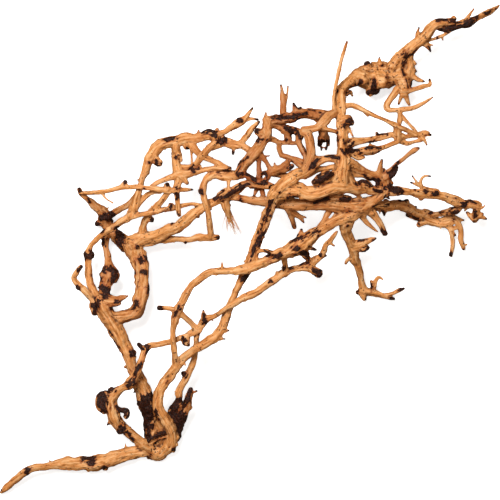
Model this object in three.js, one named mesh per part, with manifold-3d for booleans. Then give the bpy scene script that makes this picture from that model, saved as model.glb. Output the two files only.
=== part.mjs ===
// A driftwood branch: a bare, debarked root mass of forked limbs, lying on its side.
// Units are millimetres, with +Z up and the lowest points of the wood on z = 0.
import * as THREE from "three";
import { mergeVertices } from "three/addons/utils/BufferGeometryUtils.js";
import Module from "manifold-3d";

// Driving dimensions
const PLAN_SIDE = 500; // the limbs are plotted on a square sheet of this side, laid on the table
const EYE_HEIGHT = 2200; // the sheet is read from straight above its middle, from this high
const ORIGIN_SHIFT = [0.65, -0.45]; // moves the middle of the wood onto the origin
const GAP = 0.3; // clear space between two neighbouring limbs
const FOLLOW = 1.2; // how far a thin shoot's tube may miss its points; a thick one may miss by more
const STEEP = 0.2; // a ring's up direction is chosen anew when it leans this far along the shoot
const TIP_BULGE = 0.45; // how far a limb's end stands out, in radii
const THICK = 7.4; // a limb over this radius has many sides
const FEW_SIDES = 4;
const MANY_SIDES = 6;
const TABLE_CUT = 30; // thickness of the block that trims the wood flat where it rests
const MERGE_DISTANCE = 1e-4; // corners closer than this are one corner

// Each limb is a list of wooden shoots: the first is the limb itself, and the others grow out of it.
// A shoot is a list of points, and a point is [across, down, height, radius]. Across and down are read
// on the plan sheet from its far left corner. Height is the height of the shoot's middle above the table.
const LIMBS = {
  // The base, where every root starts
  base_knee: [
    [[168, 423, 24, 5], [172, 432, 20, 5], [171.5, 441, 15, 5.8], [166.5, 448, 9.4, 7],
      [158, 452.5, 6, 7.8], [150.5, 450, 7, 7.2], [142, 443.5, 15, 5.2]],
  ],
  long_root: [
    [[147, 451, 9, 5.4], [136, 452.5, 10, 6.4], [120, 456, 11, 7.6], [105, 461, 11, 7.8],
      [92, 463.5, 10, 7.8], [78, 463.5, 9.5, 6.5], [66, 463, 10, 6.2], [57, 464.5, 12, 4.5],
      [45, 466.5, 14, 3.3], [34, 467.5, 16, 3.6], [25, 472, 15, 3.6], [14, 481, 11, 3.6], [6, 488, 7, 3],
      [1, 492.5, 4, 1.4]],
  ],
  left_trunk: [
    [[154, 444, 7, 5.6], [151, 436, 8, 5.4], [150.5, 425, 9.5, 6], [150.5, 415, 12, 7], [148, 405, 16, 8.8],
      [144.5, 395, 19, 9], [140.5, 385, 21.5, 8], [136, 374, 24, 6.5], [131.5, 365, 25, 5],
      [128.5, 355, 26, 5.8], [124, 345, 27, 6.2], [119, 335, 28, 6.6], [114, 325, 29, 7.5],
      [107, 314, 30, 8], [103, 306, 31, 8], [99, 300, 31, 6]],
    [[98, 303, 31, 5], [94, 306, 31, 4.5], [94, 314, 31, 2.5]],
    [[105, 303, 35, 3.5], [113, 303, 37, 3], [119.5, 303, 38, 2.3]],
  ],
  stump: [
    [[179.5, 393.5, 23.5, 3], [178.5, 400, 21.5, 3], [176, 406, 20, 4], [173.5, 414, 16, 5.6],
      [172.5, 423, 12, 6], [168, 434, 8, 6], [160, 443, 6.4, 6]],
    [[190.5, 389, 30, 1.8], [189.5, 395, 28, 3.4], [187, 404, 25, 4], [183, 412, 21, 5], [179, 420, 16, 6],
      [177, 429, 12, 5.2], [175, 437, 9, 4.4], [168, 445, 7, 5]],
  ],
  inner_root: [
    [[197, 333, 38, 2.7], [196, 346, 33, 2.5], [195, 355, 32, 3], [193, 363, 31, 3], [189, 372, 29, 3.2],
      [185, 380, 27, 3.1], [181, 387, 25, 3], [178, 395, 23, 3.1]],
  ],
  rising_root: [
    [[168, 423, 24, 5], [162.5, 415, 27.5, 4.8], [158.5, 407, 29.5, 4.7], [158.8, 396, 31, 4.7],
      [161.5, 387, 32, 5], [166, 380.5, 33, 5.2], [172, 373, 35, 5], [178, 364, 38, 4.6]],
  ],
  middle_root: [
    [[178, 364, 38, 4.6], [185, 357, 41, 4.2], [195, 349, 44, 4], [205, 343, 46, 4.2], [215, 337, 48, 4.3],
      [222, 328, 49, 4.4], [226, 317, 50, 4.3], [229, 309, 50, 4], [232, 302, 50, 3.5],
      [236, 291, 52, 3.7]],
    [[216, 337, 48, 3.4], [223, 338, 49, 2.4], [229, 340, 50, 0.9]],
    [[219, 332, 49, 3], [226, 333, 50, 2], [232, 334, 51, 0.8]],
  ],
  centre_root: [
    [[236, 291, 52, 3.7], [241, 281, 55, 4.2], [246, 272, 57, 4.6], [251, 258, 59, 4.6],
      [257, 240, 62, 4.7], [262, 230, 65, 5.1], [265.5, 220, 68, 5], [269, 210, 71, 4.8],
      [271.5, 200, 75, 5.4], [275, 193, 77, 6]],
  ],
  left_arm: [
    [[142, 443.5, 15, 5.2], [134.5, 438, 18, 4.8], [128, 432.5, 20.5, 4.8], [122, 427.5, 23, 5.4],
      [115.5, 419, 26.5, 6], [112.5, 409, 29, 6.6], [112, 400, 31, 6.2], [116, 393, 34, 4.7],
      [124, 387, 37, 4.3], [130, 383.5, 39, 5]],
    [[110, 399, 30, 6], [103.5, 397, 29.5, 6.4], [103, 405, 29, 6.6], [106, 409, 29, 5]],
    [[114, 406, 31, 3], [120, 409.5, 33, 2.1], [126, 410.5, 34, 2.4], [127.6, 413.5, 34, 2.3],
      [125.5, 417, 34, 1.9]],
    [[123, 428, 24, 4.6], [119.5, 431.5, 25, 3.4]],
  ],
  arm_strut: [
    [[130, 383.5, 39, 5], [136, 374, 41, 4], [141, 362, 41, 3], [143.5, 353, 39, 3], [148, 346.5, 38, 3.1],
      [160, 344.2, 39, 2.8], [170, 342, 40, 2.9], [180, 338, 40, 2.8], [190, 334, 40, 2.9]],
  ],

  // The left side
  fork_trunk: [
    [[107, 318, 30, 7], [115, 318.5, 29, 6.5], [124, 317, 28, 5.8], [132, 314.5, 27, 6],
      [138, 309, 27, 6.5], [140.5, 300, 27, 6.8], [142, 290, 26, 6.2], [142, 280, 25, 6.6],
      [141.5, 270, 23, 7], [140, 262, 22, 8], [136.5, 254, 20, 9], [133, 246, 19, 10]],
  ],
  low_knuckle: [
    [[126, 245, 15, 7.4], [121, 240.5, 11.5, 7], [116, 236, 6.6, 6.5], [110, 230, 4.6, 6.3],
      [106, 223, 5.6, 6.3], [104, 215, 11, 5.5], [99, 209, 15, 4.6], [93, 204, 20, 3.6], [87, 199, 25, 2.6],
      [82, 194.5, 28, 2], [79, 189, 30, 1.7]],
    [[106, 218, 10, 3.4], [114, 213.5, 16, 3], [121, 209, 22, 2.9], [126, 206, 27, 2.6],
      [131, 201.5, 32, 2.4], [136, 195, 38, 2.3], [140, 189, 42, 2.2]],
  ],
  loop_limb: [
    [[98, 299, 31, 3.6], [93, 290, 30, 3.3], [89.5, 280, 28, 3.2], [88.3, 270, 26, 3.3],
      [88.5, 262, 25, 3.4], [88.5, 255, 25, 4.2], [90.5, 247, 26, 2.7], [95, 241, 28, 2.8],
      [101, 235.5, 31, 2.8], [108, 230.5, 34, 2.9], [115, 226, 37, 3], [122, 221.5, 39, 3.4],
      [129, 216.5, 40, 3.8], [133, 210, 41, 4.3]],
  ],
  elbow_limb: [
    [[95, 302, 32, 3.4], [90, 297, 33, 3], [84, 290, 35, 3], [79, 285, 36, 2.6], [74, 279, 37, 2.4],
      [77, 272, 40, 2.2], [81.5, 266, 43, 1.6]],
  ],
  knob_limb: [
    [[106, 236, 14, 4], [105.5, 245, 16, 3.4], [107, 254, 19, 3.5], [108, 262, 22, 3.8],
      [108.5, 270, 25, 6.5], [108, 278, 27, 6.8], [105, 286, 28, 5.5], [105, 294, 29, 5],
      [104, 302, 30, 6]],
    [[112, 270, 26, 4.5], [115, 274, 27, 3.6], [114, 281, 28, 3]],
    [[108, 297, 33, 3], [115, 299, 36, 3], [121, 298.5, 38, 2.6], [128, 296, 40, 1]],
  ],
  arch_limb: [
    [[131, 216, 41, 4], [134, 208, 43, 4.5], [136, 200, 45, 4.2], [138.5, 192, 47, 3.7],
      [141, 185, 48, 3.3], [143, 178, 48, 3.3], [146, 170, 47, 3.9], [148, 162, 46, 4.5],
      [152, 155, 45, 5.3], [157, 149, 44, 5.8], [163, 144.5, 44, 5.3], [170, 142.5, 45, 5],
      [178, 141, 46, 5.3]],
    [[136, 208, 43, 2.6], [142, 200.5, 44, 2.5], [147, 195.5, 46, 2.5], [153, 192.5, 50, 2.4],
      [160, 191.5, 53, 2.3]],
  ],
  arch_top: [
    [[178, 141, 46, 5.3], [186, 138.5, 48, 5.5], [193, 138.5, 50, 5], [200, 137.5, 52, 4],
      [207, 136, 54, 4], [213, 137, 56, 4], [217, 140, 58, 3.5]],
    [[202, 135, 53, 2.6], [208, 131, 54, 2.4], [213.5, 132.5, 56, 2.4]],
  ],
  long_twig: [
    [[81, 193.5, 29, 1.9], [90, 193, 34, 2], [100, 192, 39, 2.2], [110, 190.5, 44, 2.2],
      [121, 188, 49, 2.2], [131, 187, 53, 2.2], [141, 187, 56, 2], [150, 188.3, 57, 2.3],
      [160, 189.5, 56, 2.7], [168, 190.5, 54, 2.8], [176, 190, 52, 3], [184, 189.8, 50, 2],
      [192.5, 189.5, 49, 1.2]],
    [[102, 193, 40, 1.4], [105.5, 198.2, 41, 1.1], [113, 203, 42, 0.6]],
    [[176, 191, 52, 2.6], [177.5, 198, 50, 2.4], [178, 206, 48, 2.1], [178.8, 212, 46, 2],
      [179.5, 215.8, 45, 1.6]],
  ],
  side_twig: [
    [[131, 216, 41, 3.5], [139, 214.8, 43, 2.4], [148, 213.3, 44, 2.4], [158, 211.3, 44, 2.5],
      [168, 208.8, 44, 2.6], [177, 206.8, 43, 2.4], [186, 204.8, 44, 1.9], [193, 204, 45, 1.7],
      [200, 205.5, 46, 2]],
  ],
  diagonal_twig: [
    [[142, 239, 20, 5], [143, 231, 25, 3.7], [144, 224, 30, 3.1], [147, 217.5, 35, 3.2],
      [152, 211, 39, 2.9], [157, 206, 44, 2.9], [161.5, 201, 48, 2.8], [166, 195, 51, 2.7],
      [169, 191, 53, 2.5]],
  ],
  left_limb: [
    [[133, 243, 20, 9], [145, 238.5, 23, 6.5], [156, 236, 27, 6], [167, 231.5, 32, 5.6],
      [177, 227.5, 37, 5.3], [185, 221.5, 41, 5.2], [192, 215.5, 44, 5], [199, 210, 46, 4.8],
      [207, 205.5, 48, 4.6], [215, 201, 51, 4.6], [224, 197, 55, 4.6]],
    [[219, 195, 54, 3], [224, 191, 57, 2.6], [229, 189, 59, 2]],
    [[225, 201, 52, 4.5], [226.5, 207, 49, 4.3], [228, 213, 45, 3.2], [230, 219, 41, 1.9],
      [235, 229, 37, 0.8], [244, 240, 33, 0.7]],
    [[229, 216, 43, 1.2], [228.5, 226, 40, 0.8], [226, 238, 38, 0.6]],
    [[224, 197, 55, 4.6], [232, 192, 59, 4.6], [239, 187.5, 62, 4.2], [246, 184, 64, 3.6],
      [253, 184, 65, 3], [262, 186, 68, 2.6], [270, 187, 71, 2.6]],
  ],
  lower_fork: [
    [[145, 243, 20, 4.5], [155, 241, 21, 4], [166, 239.5, 23, 3.6], [176, 239.3, 26, 3],
      [185, 239.8, 29, 2.4], [192, 239, 32, 2.6], [198, 237.5, 35, 3.4], [205, 237.5, 38, 3],
      [212, 237.5, 40, 3], [218, 237, 41, 2.5]],
  ],
  cross_limb: [
    [[211, 237, 41, 3], [209.8, 228, 47, 2.6], [209, 219, 53, 2.7], [207.8, 211, 57, 2.7],
      [206, 204, 59, 2.8], [204, 197, 60, 2.8], [203.3, 190, 59, 3], [204.5, 183, 58, 3.1],
      [208, 177.5, 57, 3.6], [214, 175, 56, 4.4], [223, 175.5, 57, 4.5], [233, 176, 59, 4.6],
      [242, 173, 61, 5]],
    [[230, 175, 58, 2.4], [228.6, 184, 60, 1.5], [228, 191, 60, 1.4]],
  ],
  upper_left_twig: [
    [[151, 186.5, 51, 1.8], [158, 182.5, 51, 1.9], [166, 179, 52, 2.2], [174, 176, 53, 3],
      [183, 174.3, 53, 3.8], [191, 173, 54, 3.3], [199, 171, 55, 2.6], [207, 169.3, 57, 2.3],
      [214, 168, 59, 2.2], [222, 168.5, 61, 2.1], [230, 168.5, 63, 2]],
  ],
  hanging_limb: [
    [[176, 146, 46, 4.6], [176.5, 155, 45, 4.5], [176, 163, 47, 4], [177.5, 171, 50, 4.6],
      [178.5, 179, 51, 4.4], [177, 187, 52, 3.4]],
    [[179, 168, 48, 3.5], [187, 168.5, 50, 3.3], [194, 168, 52, 3.4], [200, 166.5, 53, 2]],
  ],
  crossing_twigs: [
    [[194, 168, 52, 3], [197, 163, 55, 3], [201.5, 157, 58, 3.2], [206.5, 151, 60, 3.4],
      [211.5, 145.5, 60, 3.2], [216, 141, 60, 3]],
    [[191, 144, 50, 3.4], [196.5, 151, 54, 3], [203, 156, 57, 2.9], [211, 160, 58, 2.5],
      [219, 163.5, 59, 2.3], [228, 168, 62, 2]],
    [[191, 148, 51, 1.4], [191.5, 156, 51, 1.1], [192, 165, 52, 1.1]],
  ],
  top_fork: [
    [[211, 147, 58, 3.2], [218, 144.5, 57, 3.7], [225, 142.5, 57, 4], [233, 144, 59, 4.2],
      [240, 145, 61, 3.7], [246, 147.5, 63, 3], [252, 152, 65, 3]],
    [[241, 143, 61, 3], [246, 137, 64, 3], [250, 131.5, 67, 3.1], [254, 126.5, 70, 2.4],
      [259, 121.8, 73, 1.6]],
  ],
  top_prong: [
    [[214, 135, 56, 3], [220, 133.5, 58, 2.4], [226, 131.5, 60, 2.4], [231, 127.5, 62, 3.1],
      [236.5, 124, 64, 3.8], [242, 121, 66, 3.6], [246, 117, 68, 2.2], [249.5, 112, 70, 1.7],
      [252.5, 108, 72, 1.3]],
    [[244, 120, 66, 2.2], [252, 118.7, 66, 1.5], [258, 119.7, 66, 1.2]],
  ],

  // The crown, and the tangle in the middle
  curved_limb: [
    [[266.5, 119, 76, 4], [267.5, 127, 75, 5], [266.5, 135, 73, 5.4], [262.5, 142, 71, 5.5],
      [258, 148, 69, 5.5], [253, 154, 67, 5.4], [248, 160, 65, 5.4], [243, 167, 63, 5.6],
      [239, 174, 61, 5]],
    [[262, 133, 74, 4], [257, 131, 74, 3]],
  ],
  dark_limb: [
    [[267, 121, 75, 4.3], [275, 119.5, 74, 4.5], [283, 119, 73, 4.8], [291, 117.5, 71, 4.7],
      [299, 114.5, 69, 5], [308, 114, 66, 4.7], [317, 115, 64, 5.2], [326, 115, 62, 4.5],
      [335, 113.5, 60, 3.4]],
    [[322, 117, 62, 4.4], [321, 123.5, 61, 2]],
    [[284, 118, 68, 2.6], [283.5, 108, 65, 3], [283, 100, 63, 2.4], [282, 92, 61, 1.7], [281, 85, 60, 1.1]],
    [[285, 105, 64, 1.6], [287, 95, 62, 1.2], [288, 86, 61, 0.9]],
  ],
  lattice: [
    [[268, 124, 74, 4], [275, 125, 72, 3.3], [281, 127.5, 70, 3.6], [287, 130, 69, 4.8],
      [293, 130, 68, 3.5], [299, 133, 67, 3.6], [299, 142, 69, 2.8], [302, 149, 70, 2.8],
      [305, 156.5, 72, 2.2], [306, 163.5, 75, 1.8]],
    [[267, 138, 71, 3.2], [273, 139.5, 69, 2.8], [279, 142.5, 67, 2.4], [286, 143, 66, 1.9],
      [298, 143, 67, 1.8]],
    [[279, 143, 67, 2.2], [280, 151, 65, 2.2], [282, 154.8, 64, 2.2], [288, 157, 65, 2.3],
      [294, 160.5, 67, 2.5], [299, 164.5, 70, 2.8], [304, 169, 74, 3]],
    [[289, 157, 65, 1.5], [297, 158.8, 68, 1.4], [306, 162, 73, 1.4]],
  ],
  dark_tangle: [
    [[245, 175, 63, 3], [251, 178, 66, 2.6], [257, 181, 68, 2.8], [264, 183.5, 69, 2.7],
      [270, 185, 70, 2.4], [276, 188, 73, 2.5]],
    [[262, 173.5, 68, 1.8], [266, 172.5, 70, 1.8], [268, 177, 70, 2.2], [264, 181, 70, 2.4]],
    [[250, 187, 64, 1.6], [258, 186, 66, 2.6], [265, 185.5, 69, 2.6]],
    [[257, 181, 66, 2.8], [257, 187, 59, 2.4], [254, 196, 61, 1.2]],
    [[262, 183, 68, 2.8], [262, 189, 60, 2.4], [263, 196, 63, 2.2]],
    [[259, 152, 66, 3.4], [259, 161, 65, 2.2], [259, 168, 64, 2.1], [259.5, 175.5, 64, 3],
      [259, 182, 65, 4]],
    [[260.5, 154.5, 67, 3], [264.5, 159.5, 67, 2.2], [268.5, 165.5, 67, 2], [272, 171, 67, 2.5]],
  ],
  stub_limb: [
    [[267, 174, 66, 2.8], [275, 170, 67, 4], [281, 168, 69, 3.5], [286, 164, 71, 2.8], [289.5, 160, 73, 2]],
    [[282, 171, 69, 2.4], [288, 169, 70, 2.2], [292.5, 165.5, 71, 1.8]],
    [[272, 174, 64, 2.6], [280, 175.5, 61, 2.8], [292, 176, 66, 3]],
  ],
  split_limb: [
    [[335, 113, 62, 3.4], [327.5, 117.5, 68, 4.4], [322.5, 123.5, 71, 4], [316, 128, 73, 3],
      [309, 129.5, 74, 3], [303, 131, 75, 3.4], [307.5, 134.5, 75, 4.4], [310, 142, 76, 4.8],
      [311.5, 150, 78, 4.4], [310.5, 158, 80, 4.2], [307.5, 165, 81, 4.4], [304, 171, 81, 4.6]],
    [[318, 125.5, 72, 2.8], [324, 128.8, 71, 2.2], [331, 130.3, 70, 1.9], [340, 133, 68, 2]],
  ],
  ragged_cup: [
    [[323, 125, 66, 4], [323, 134, 60, 6], [323, 141, 55, 6.3], [323, 146, 51, 5]],
    [[321, 145, 51, 3], [321.5, 150.5, 49, 1]],
  ],

  // The column, the head and the arm at the top right
  column: [
    [[341, 190, 70, 6], [341, 181, 74, 7.4], [341.5, 171, 77, 7.6], [343, 162, 76, 7.5],
      [342, 152, 73, 5.5], [342.3, 142, 70, 5.2], [342.5, 132, 67, 5.4], [341.5, 122, 63, 5],
      [340.3, 112, 58, 5.2], [340, 102, 51, 5.2], [340.3, 93, 43, 5.2], [345, 86, 36, 5.2],
      [352, 80.5, 29, 5.6]],
    [[343, 122, 65, 4.6], [348, 121, 67, 5], [352.5, 123, 68, 2.4]],
    [[346, 126, 67, 2], [350, 131, 67, 1.2], [353, 136.5, 67, 0.9]],
    [[346, 94, 37, 2.6], [350, 92, 34, 2], [352.5, 96, 32, 0.8]],
    [[341, 168, 76, 6], [335.5, 177, 77, 6], [328, 187, 76, 5]],
    [[342.5, 167, 76, 6], [347.5, 178, 73, 6], [355, 187.5, 68, 4.6]],
  ],
  head: [
    [[352, 80.5, 29, 5.6], [359, 77, 24, 7.5], [366, 77, 14.6, 12], [373, 78, 11.6, 15],
      [382, 76, 11.2, 14.5], [391, 75.5, 12.2, 13], [399, 77, 17, 10], [404, 84, 20, 7],
      [405.5, 91, 21, 4.5]],
    [[367, 68, 20, 4], [367, 63, 20, 2.6]],
    [[382, 80, 24, 6], [382, 85, 25, 4.4]],
    [[372, 88, 16, 7], [369, 93, 15, 3.6]],
    [[405.5, 91, 21, 3.4], [412, 90, 23, 2.2], [419, 88, 25, 2], [425, 86, 27, 1.8], [430, 85, 29, 1.6],
      [429.5, 79, 31, 1.1]],
    [[404, 88, 21, 4], [401, 97, 20, 1.9], [398.5, 104, 18, 1.1]],
    [[405, 93, 21, 3], [407, 100, 19, 1.9], [409.3, 105, 17, 1.2]],
  ],
  long_arm: [
    [[394, 67, 20, 8], [399, 59, 23, 6.5], [405, 53.5, 26, 5.6], [411.5, 48, 29, 5.5], [418, 42.5, 31, 5.5],
      [424, 37, 32, 5.4], [429, 31, 33, 5.4], [434, 26, 33, 5], [440, 23, 33, 3.8], [446, 22.3, 32, 3.3],
      [453, 22, 31, 3.5]],
    [[419, 40, 32, 3], [417.5, 34, 34, 2], [419, 27.5, 34, 0.9]],
    [[424, 43, 30, 3], [428, 47, 29, 2], [430.5, 51.5, 28, 0.8]],
  ],
  arm_tip: [
    [[438, 28, 28, 2.8], [447, 28.3, 28, 3.3], [454, 26.5, 28, 3.8], [461, 24.3, 27, 4.2],
      [467, 22.8, 26, 4.3], [473, 20, 25, 3.4], [479, 17, 23, 2.9], [485, 14, 21, 2.9],
      [490.5, 11, 18, 2.4], [495, 8.5, 15, 1.8], [499, 5.5, 12, 1]],
    [[466, 20, 27, 2], [470, 14, 29, 1.3], [474, 8.5, 30, 0.9]],
    [[429, 40, 30, 1.6], [434, 39, 29, 1.3], [438, 37.5, 29, 1.5], [443, 35.5, 28, 1.5],
      [448, 32.5, 28, 1.4], [453, 28.5, 28, 1.6]],
  ],
  arm_strut_right: [
    [[409, 55, 24, 5], [410, 64, 21, 4.5], [409.5, 73, 19, 4.8], [408.5, 81, 18, 3.6],
      [407.5, 88, 19, 2.6]],
    [[410, 75, 19, 3.6], [415, 77.5, 20, 2.6], [419, 80, 21, 1.9], [424.5, 81.5, 22, 1]],
  ],
  head_fork: [
    [[398, 89, 20, 3.5], [394, 94, 24, 3], [390, 100, 28, 2.8], [386.8, 105.5, 31, 2.8],
      [388, 109.5, 33, 2.4], [396, 110, 35, 2.2], [405, 109.3, 37, 2.3], [413, 107.8, 39, 2.2],
      [420, 105, 41, 1.9], [427, 101, 43, 1.4], [433, 97, 45, 0.9]],
    [[399.5, 109.7, 35.6, 2.4], [400, 117.5, 41, 2.3], [399.3, 124.5, 46, 1.9]],
    [[400.3, 114.5, 39, 1.9], [407, 122, 42, 1.6], [412, 127.5, 43, 1.6], [418, 134, 44, 1.6]],
  ],
  upright_stick: [
    [[334.3, 113, 62, 2.2], [333.8, 102, 58, 1.7], [334.5, 92, 55, 1.6], [336.5, 82, 52, 1.6],
      [339, 71, 50, 1.6], [342, 58, 50, 1.5], [345, 48, 52, 1.4], [347.3, 41.5, 54, 1.1]],
  ],
  thin_branch: [
    [[343, 107, 55, 2.6], [350, 105.2, 56, 2.3], [357, 107, 57, 2.2], [364, 110.5, 58, 2],
      [374, 115.3, 58, 1.9], [384, 119.8, 57, 1.9], [393, 124.3, 56, 2.3], [401, 127.8, 54, 2.3],
      [409, 131.3, 50, 2], [416, 134.5, 47, 2.2]],
  ],
  bundle_upper: [
    [[346, 146, 68, 5], [354, 142, 64, 3.8], [363, 140.8, 61, 2.6], [373, 139.3, 58, 2.6],
      [383, 137.3, 54, 2.7], [391, 135, 51, 3], [398, 135, 49, 3.8], [406, 136.5, 47, 2.2],
      [414, 135.5, 46, 2.1], [421, 134.5, 45, 2.3], [427, 134, 45, 1.8], [431, 135, 45, 1.2]],
    [[390, 134, 51, 2], [383, 135, 53, 1.8], [378, 135.6, 54, 1.7], [376.5, 132.8, 55, 1.4]],
    [[397, 127, 53, 3], [397.5, 134, 50, 4.2], [398, 141, 48, 3.2]],
    [[399, 141, 47, 2.4], [407, 143.5, 45, 1.9], [414, 141.8, 44, 1.5], [421, 140, 44, 1.8]],
  ],
  bundle_lower: [
    [[344, 152, 68, 5], [352, 152.5, 64, 4.2], [360, 151.3, 61, 3.4], [368, 150.5, 59, 4.3],
      [375, 150, 57, 4.2], [381, 148, 56, 2.4], [388, 145.5, 54, 2], [397, 142, 50, 2]],
    [[352, 154, 65, 3], [358, 157.5, 64, 2.4], [364, 157, 63, 1.6]],
  ],

  // The crown limbs
  bark_limb: [
    [[342, 160, 76, 6], [333, 158.5, 77, 3.8], [325, 159, 78, 4], [318, 161.5, 79, 4.3],
      [312, 166.5, 80, 4.2], [304, 172, 80, 5.5], [297, 175, 81, 6.3], [290, 180, 81, 6.3],
      [283, 185.5, 80, 6.3], [277, 191, 78, 6.3], [272, 197, 76, 5.5]],
    [[304, 175, 78, 4], [311, 172.5, 76, 3.4], [319, 169.5, 74, 2.8], [327, 168.5, 73, 2.4],
      [337, 166.5, 74, 3]],
    [[317, 162, 79, 3.6], [318, 157.5, 79, 2.4]],
  ],
  crown_limb: [
    [[278, 194, 76, 6], [287, 191, 77, 7], [297, 190, 78, 7.4], [307, 193.5, 78, 6.4], [316, 193, 78, 6.6],
      [325, 190, 78, 6.8], [334, 187, 77, 6.5], [344, 187.5, 74, 6], [354, 188.5, 70, 5.3],
      [364, 188.5, 65, 4.8], [373, 190, 61, 4.3], [382, 190.5, 57, 4]],
    [[330, 184, 78, 4], [337, 177, 78, 4.6]],
    [[313.5, 182.5, 82, 2.8], [319, 180, 83, 5], [326, 176.5, 83, 5.4], [333, 174, 80, 3.6]],
  ],
  roof_limb: [
    [[346, 162, 75, 6], [352, 164.5, 72, 5], [359, 168.5, 68, 4], [366, 172, 65, 3], [373, 174.5, 62, 2.8],
      [380, 176, 60, 4], [385, 179, 58, 5.2], [387, 187, 56, 5], [384, 194, 56, 4.6]],
    [[350, 168, 71, 3], [354, 174.5, 68, 2.4], [363, 176, 64, 1.8], [373, 176.5, 61, 2]],
    [[380, 174, 61, 3], [380, 168, 64, 2.1], [382, 160, 68, 1.2]],
    [[385, 177, 60, 4.5], [391, 173, 61, 3.6], [395, 169.5, 62, 2.4], [397, 167, 63, 1.4]],
    [[386, 173, 62, 2], [393, 167, 65, 1.6], [401, 160.5, 69, 1.6], [409, 154, 73, 1.9],
      [415, 150, 76, 2.2], [419, 148, 78, 1.2]],
  ],
  lower_limb: [
    [[226, 197, 52, 3.6], [240, 198.5, 56, 4], [250, 200.5, 58, 4.2], [260, 201.3, 60, 4.3],
      [270, 202, 61, 4.5], [280, 203, 62, 5], [290, 204, 64, 5.3], [300, 203.5, 65, 5.3],
      [312, 204, 65, 5.2], [325, 205, 64, 5.5], [337, 206.5, 62, 6], [348, 208.5, 60, 6.5],
      [356, 209.5, 58, 7.5]],
    [[289, 207, 62, 4.6], [290.5, 213, 57, 2.9], [292.5, 220, 52, 2.3], [294.5, 227.5, 47, 1.9]],
    [[291, 211, 59, 3], [297, 215, 55, 2.4], [301, 218.5, 53, 1.9], [303.8, 222.5, 52, 0.9]],
    [[330, 210, 59, 3.4], [326, 216, 60, 2.5], [323, 221.5, 61, 2.2], [320, 227, 62, 3]],
    [[339, 211, 60, 3], [334, 217, 60, 2], [331, 221, 61, 2.2]],
    [[336, 202, 62, 3], [344, 202.5, 61, 3], [352, 201.5, 60, 3.5], [359, 200, 59, 3.4]],
  ],
  star_joint: [
    [[350, 208, 60, 6], [357, 208, 58, 8], [364, 206, 57, 8], [370, 203, 56, 6.4], [377, 198, 56, 4.8],
      [383, 193.5, 56, 4.4]],
    [[362, 207, 57, 6], [368, 211, 54, 5], [373, 217, 51, 4], [378, 223, 48, 3.4], [382, 229, 45, 3],
      [385, 234, 43, 2.4]],
    [[360, 213, 56, 5], [365, 219, 53, 3.2], [370, 224.5, 51, 2.2], [375, 229, 49, 1.6],
      [378, 232, 48, 0.9]],
    [[355, 192, 66, 3], [359.5, 196.5, 62, 1.8], [363, 202, 59, 2]],
  ],

  // The root that runs down to the left from the star joint
  long_branch: [
    [[356, 211, 58, 7], [349, 215, 59, 6.4], [341, 219, 60, 5.2], [333, 223, 61, 4.6],
      [325, 227.5, 62, 4.6], [318, 232, 63, 5.2], [312, 236, 64, 6.5], [306, 240.5, 65, 8],
      [299, 245.5, 66, 8.3], [291, 249.5, 67, 7.5], [283, 253.5, 68, 6], [270, 259.5, 68, 5],
      [260, 263.5, 68, 4.6], [247, 268.5, 68, 4.3], [235, 271, 67, 3.9]],
    [[257, 262.5, 68, 2.4], [256, 257, 70, 1.8], [258, 251.5, 71, 1.8], [265, 250.5, 72, 1.8],
      [273, 253, 72, 1.8], [281, 249.5, 73, 2.2], [286, 252, 70, 2.6]],
    [[302, 250, 62, 5], [306, 255, 60, 3.6]],
  ],
  lower_branch: [
    [[235, 271, 67, 3.9], [220, 271.5, 64, 3.6], [210, 272, 62, 4], [203, 276, 60, 3.6],
      [196, 282, 58, 3.4], [190, 288, 56, 3.5], [186, 295, 55, 3.6], [182, 303, 54, 3.6],
      [178, 311, 53, 4.3], [175.5, 318, 52, 4], [173.5, 328, 50, 3.1], [173, 340, 49, 2.9],
      [174, 352, 46, 3], [176, 363, 40, 3.4]],
    [[177, 311, 53, 2.8], [171, 309, 54, 2.5], [165, 308, 55, 2.3], [159, 308, 56, 2.5]],
  ],
  bridge_branch: [
    [[190, 334, 40, 3.2], [198, 330, 40, 3.8], [202, 325, 42, 3.6], [205, 320, 45, 3.8],
      [215, 316, 50, 2.3], [222, 311, 56, 2.4], [230, 306, 59, 2.8], [240, 299.8, 60, 3.2],
      [250, 295.5, 59, 3.3], [260, 290.3, 57, 3.2], [268, 284, 54, 3.6], [275, 279, 52, 3.6],
      [283, 273, 50, 4], [290, 270.3, 50, 3.3], [300, 267.5, 50, 3.8], [308, 266.5, 50, 4.8]],
    [[181, 314, 52, 2.5], [187, 319, 48, 2.3], [192, 324, 44, 2.3], [197, 330, 41, 2.8]],
    [[283, 256, 63, 3], [285, 264, 57, 2.6], [285, 271, 51, 2.8]],
    [[308, 266.5, 50, 4.8], [313, 262, 51, 4], [319, 257.5, 53, 2.7], [324, 251, 55, 2.6],
      [326, 245, 58, 2.4], [330, 241, 60, 2.4], [333, 237, 62, 2.3], [337, 231.5, 64, 1.3]],
    [[309, 267.5, 50, 4.2], [314, 271, 51, 3.8], [319.5, 273.5, 51, 3.8]],
    [[304, 256, 58, 2.4], [308, 259, 55, 2.4], [312, 262.5, 52, 2.6]],
  ],

  // The right side
  foot_limb: [
    [[347, 216, 57, 7], [345.5, 224, 54, 6.5], [346, 230.5, 49, 5.6], [348.5, 237, 43, 4.8],
      [351, 243, 38, 5], [353, 250, 32, 5.2], [354.5, 257, 26, 5], [357, 264, 20, 4], [359.3, 271, 15, 3.4],
      [361, 279, 10, 3.1], [362.5, 286, 6, 3.5], [364, 292, 3.4, 4.6]],
    [[353, 245, 37, 5], [360, 243.5, 37, 4], [366, 241.5, 38, 3], [372, 239.5, 39, 1.9],
      [376, 238.3, 40, 0.9]],
    [[357, 247, 35, 3.8], [363, 248.8, 35, 3], [367.5, 247.5, 35, 2.2]],
  ],
  foot: [
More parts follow.
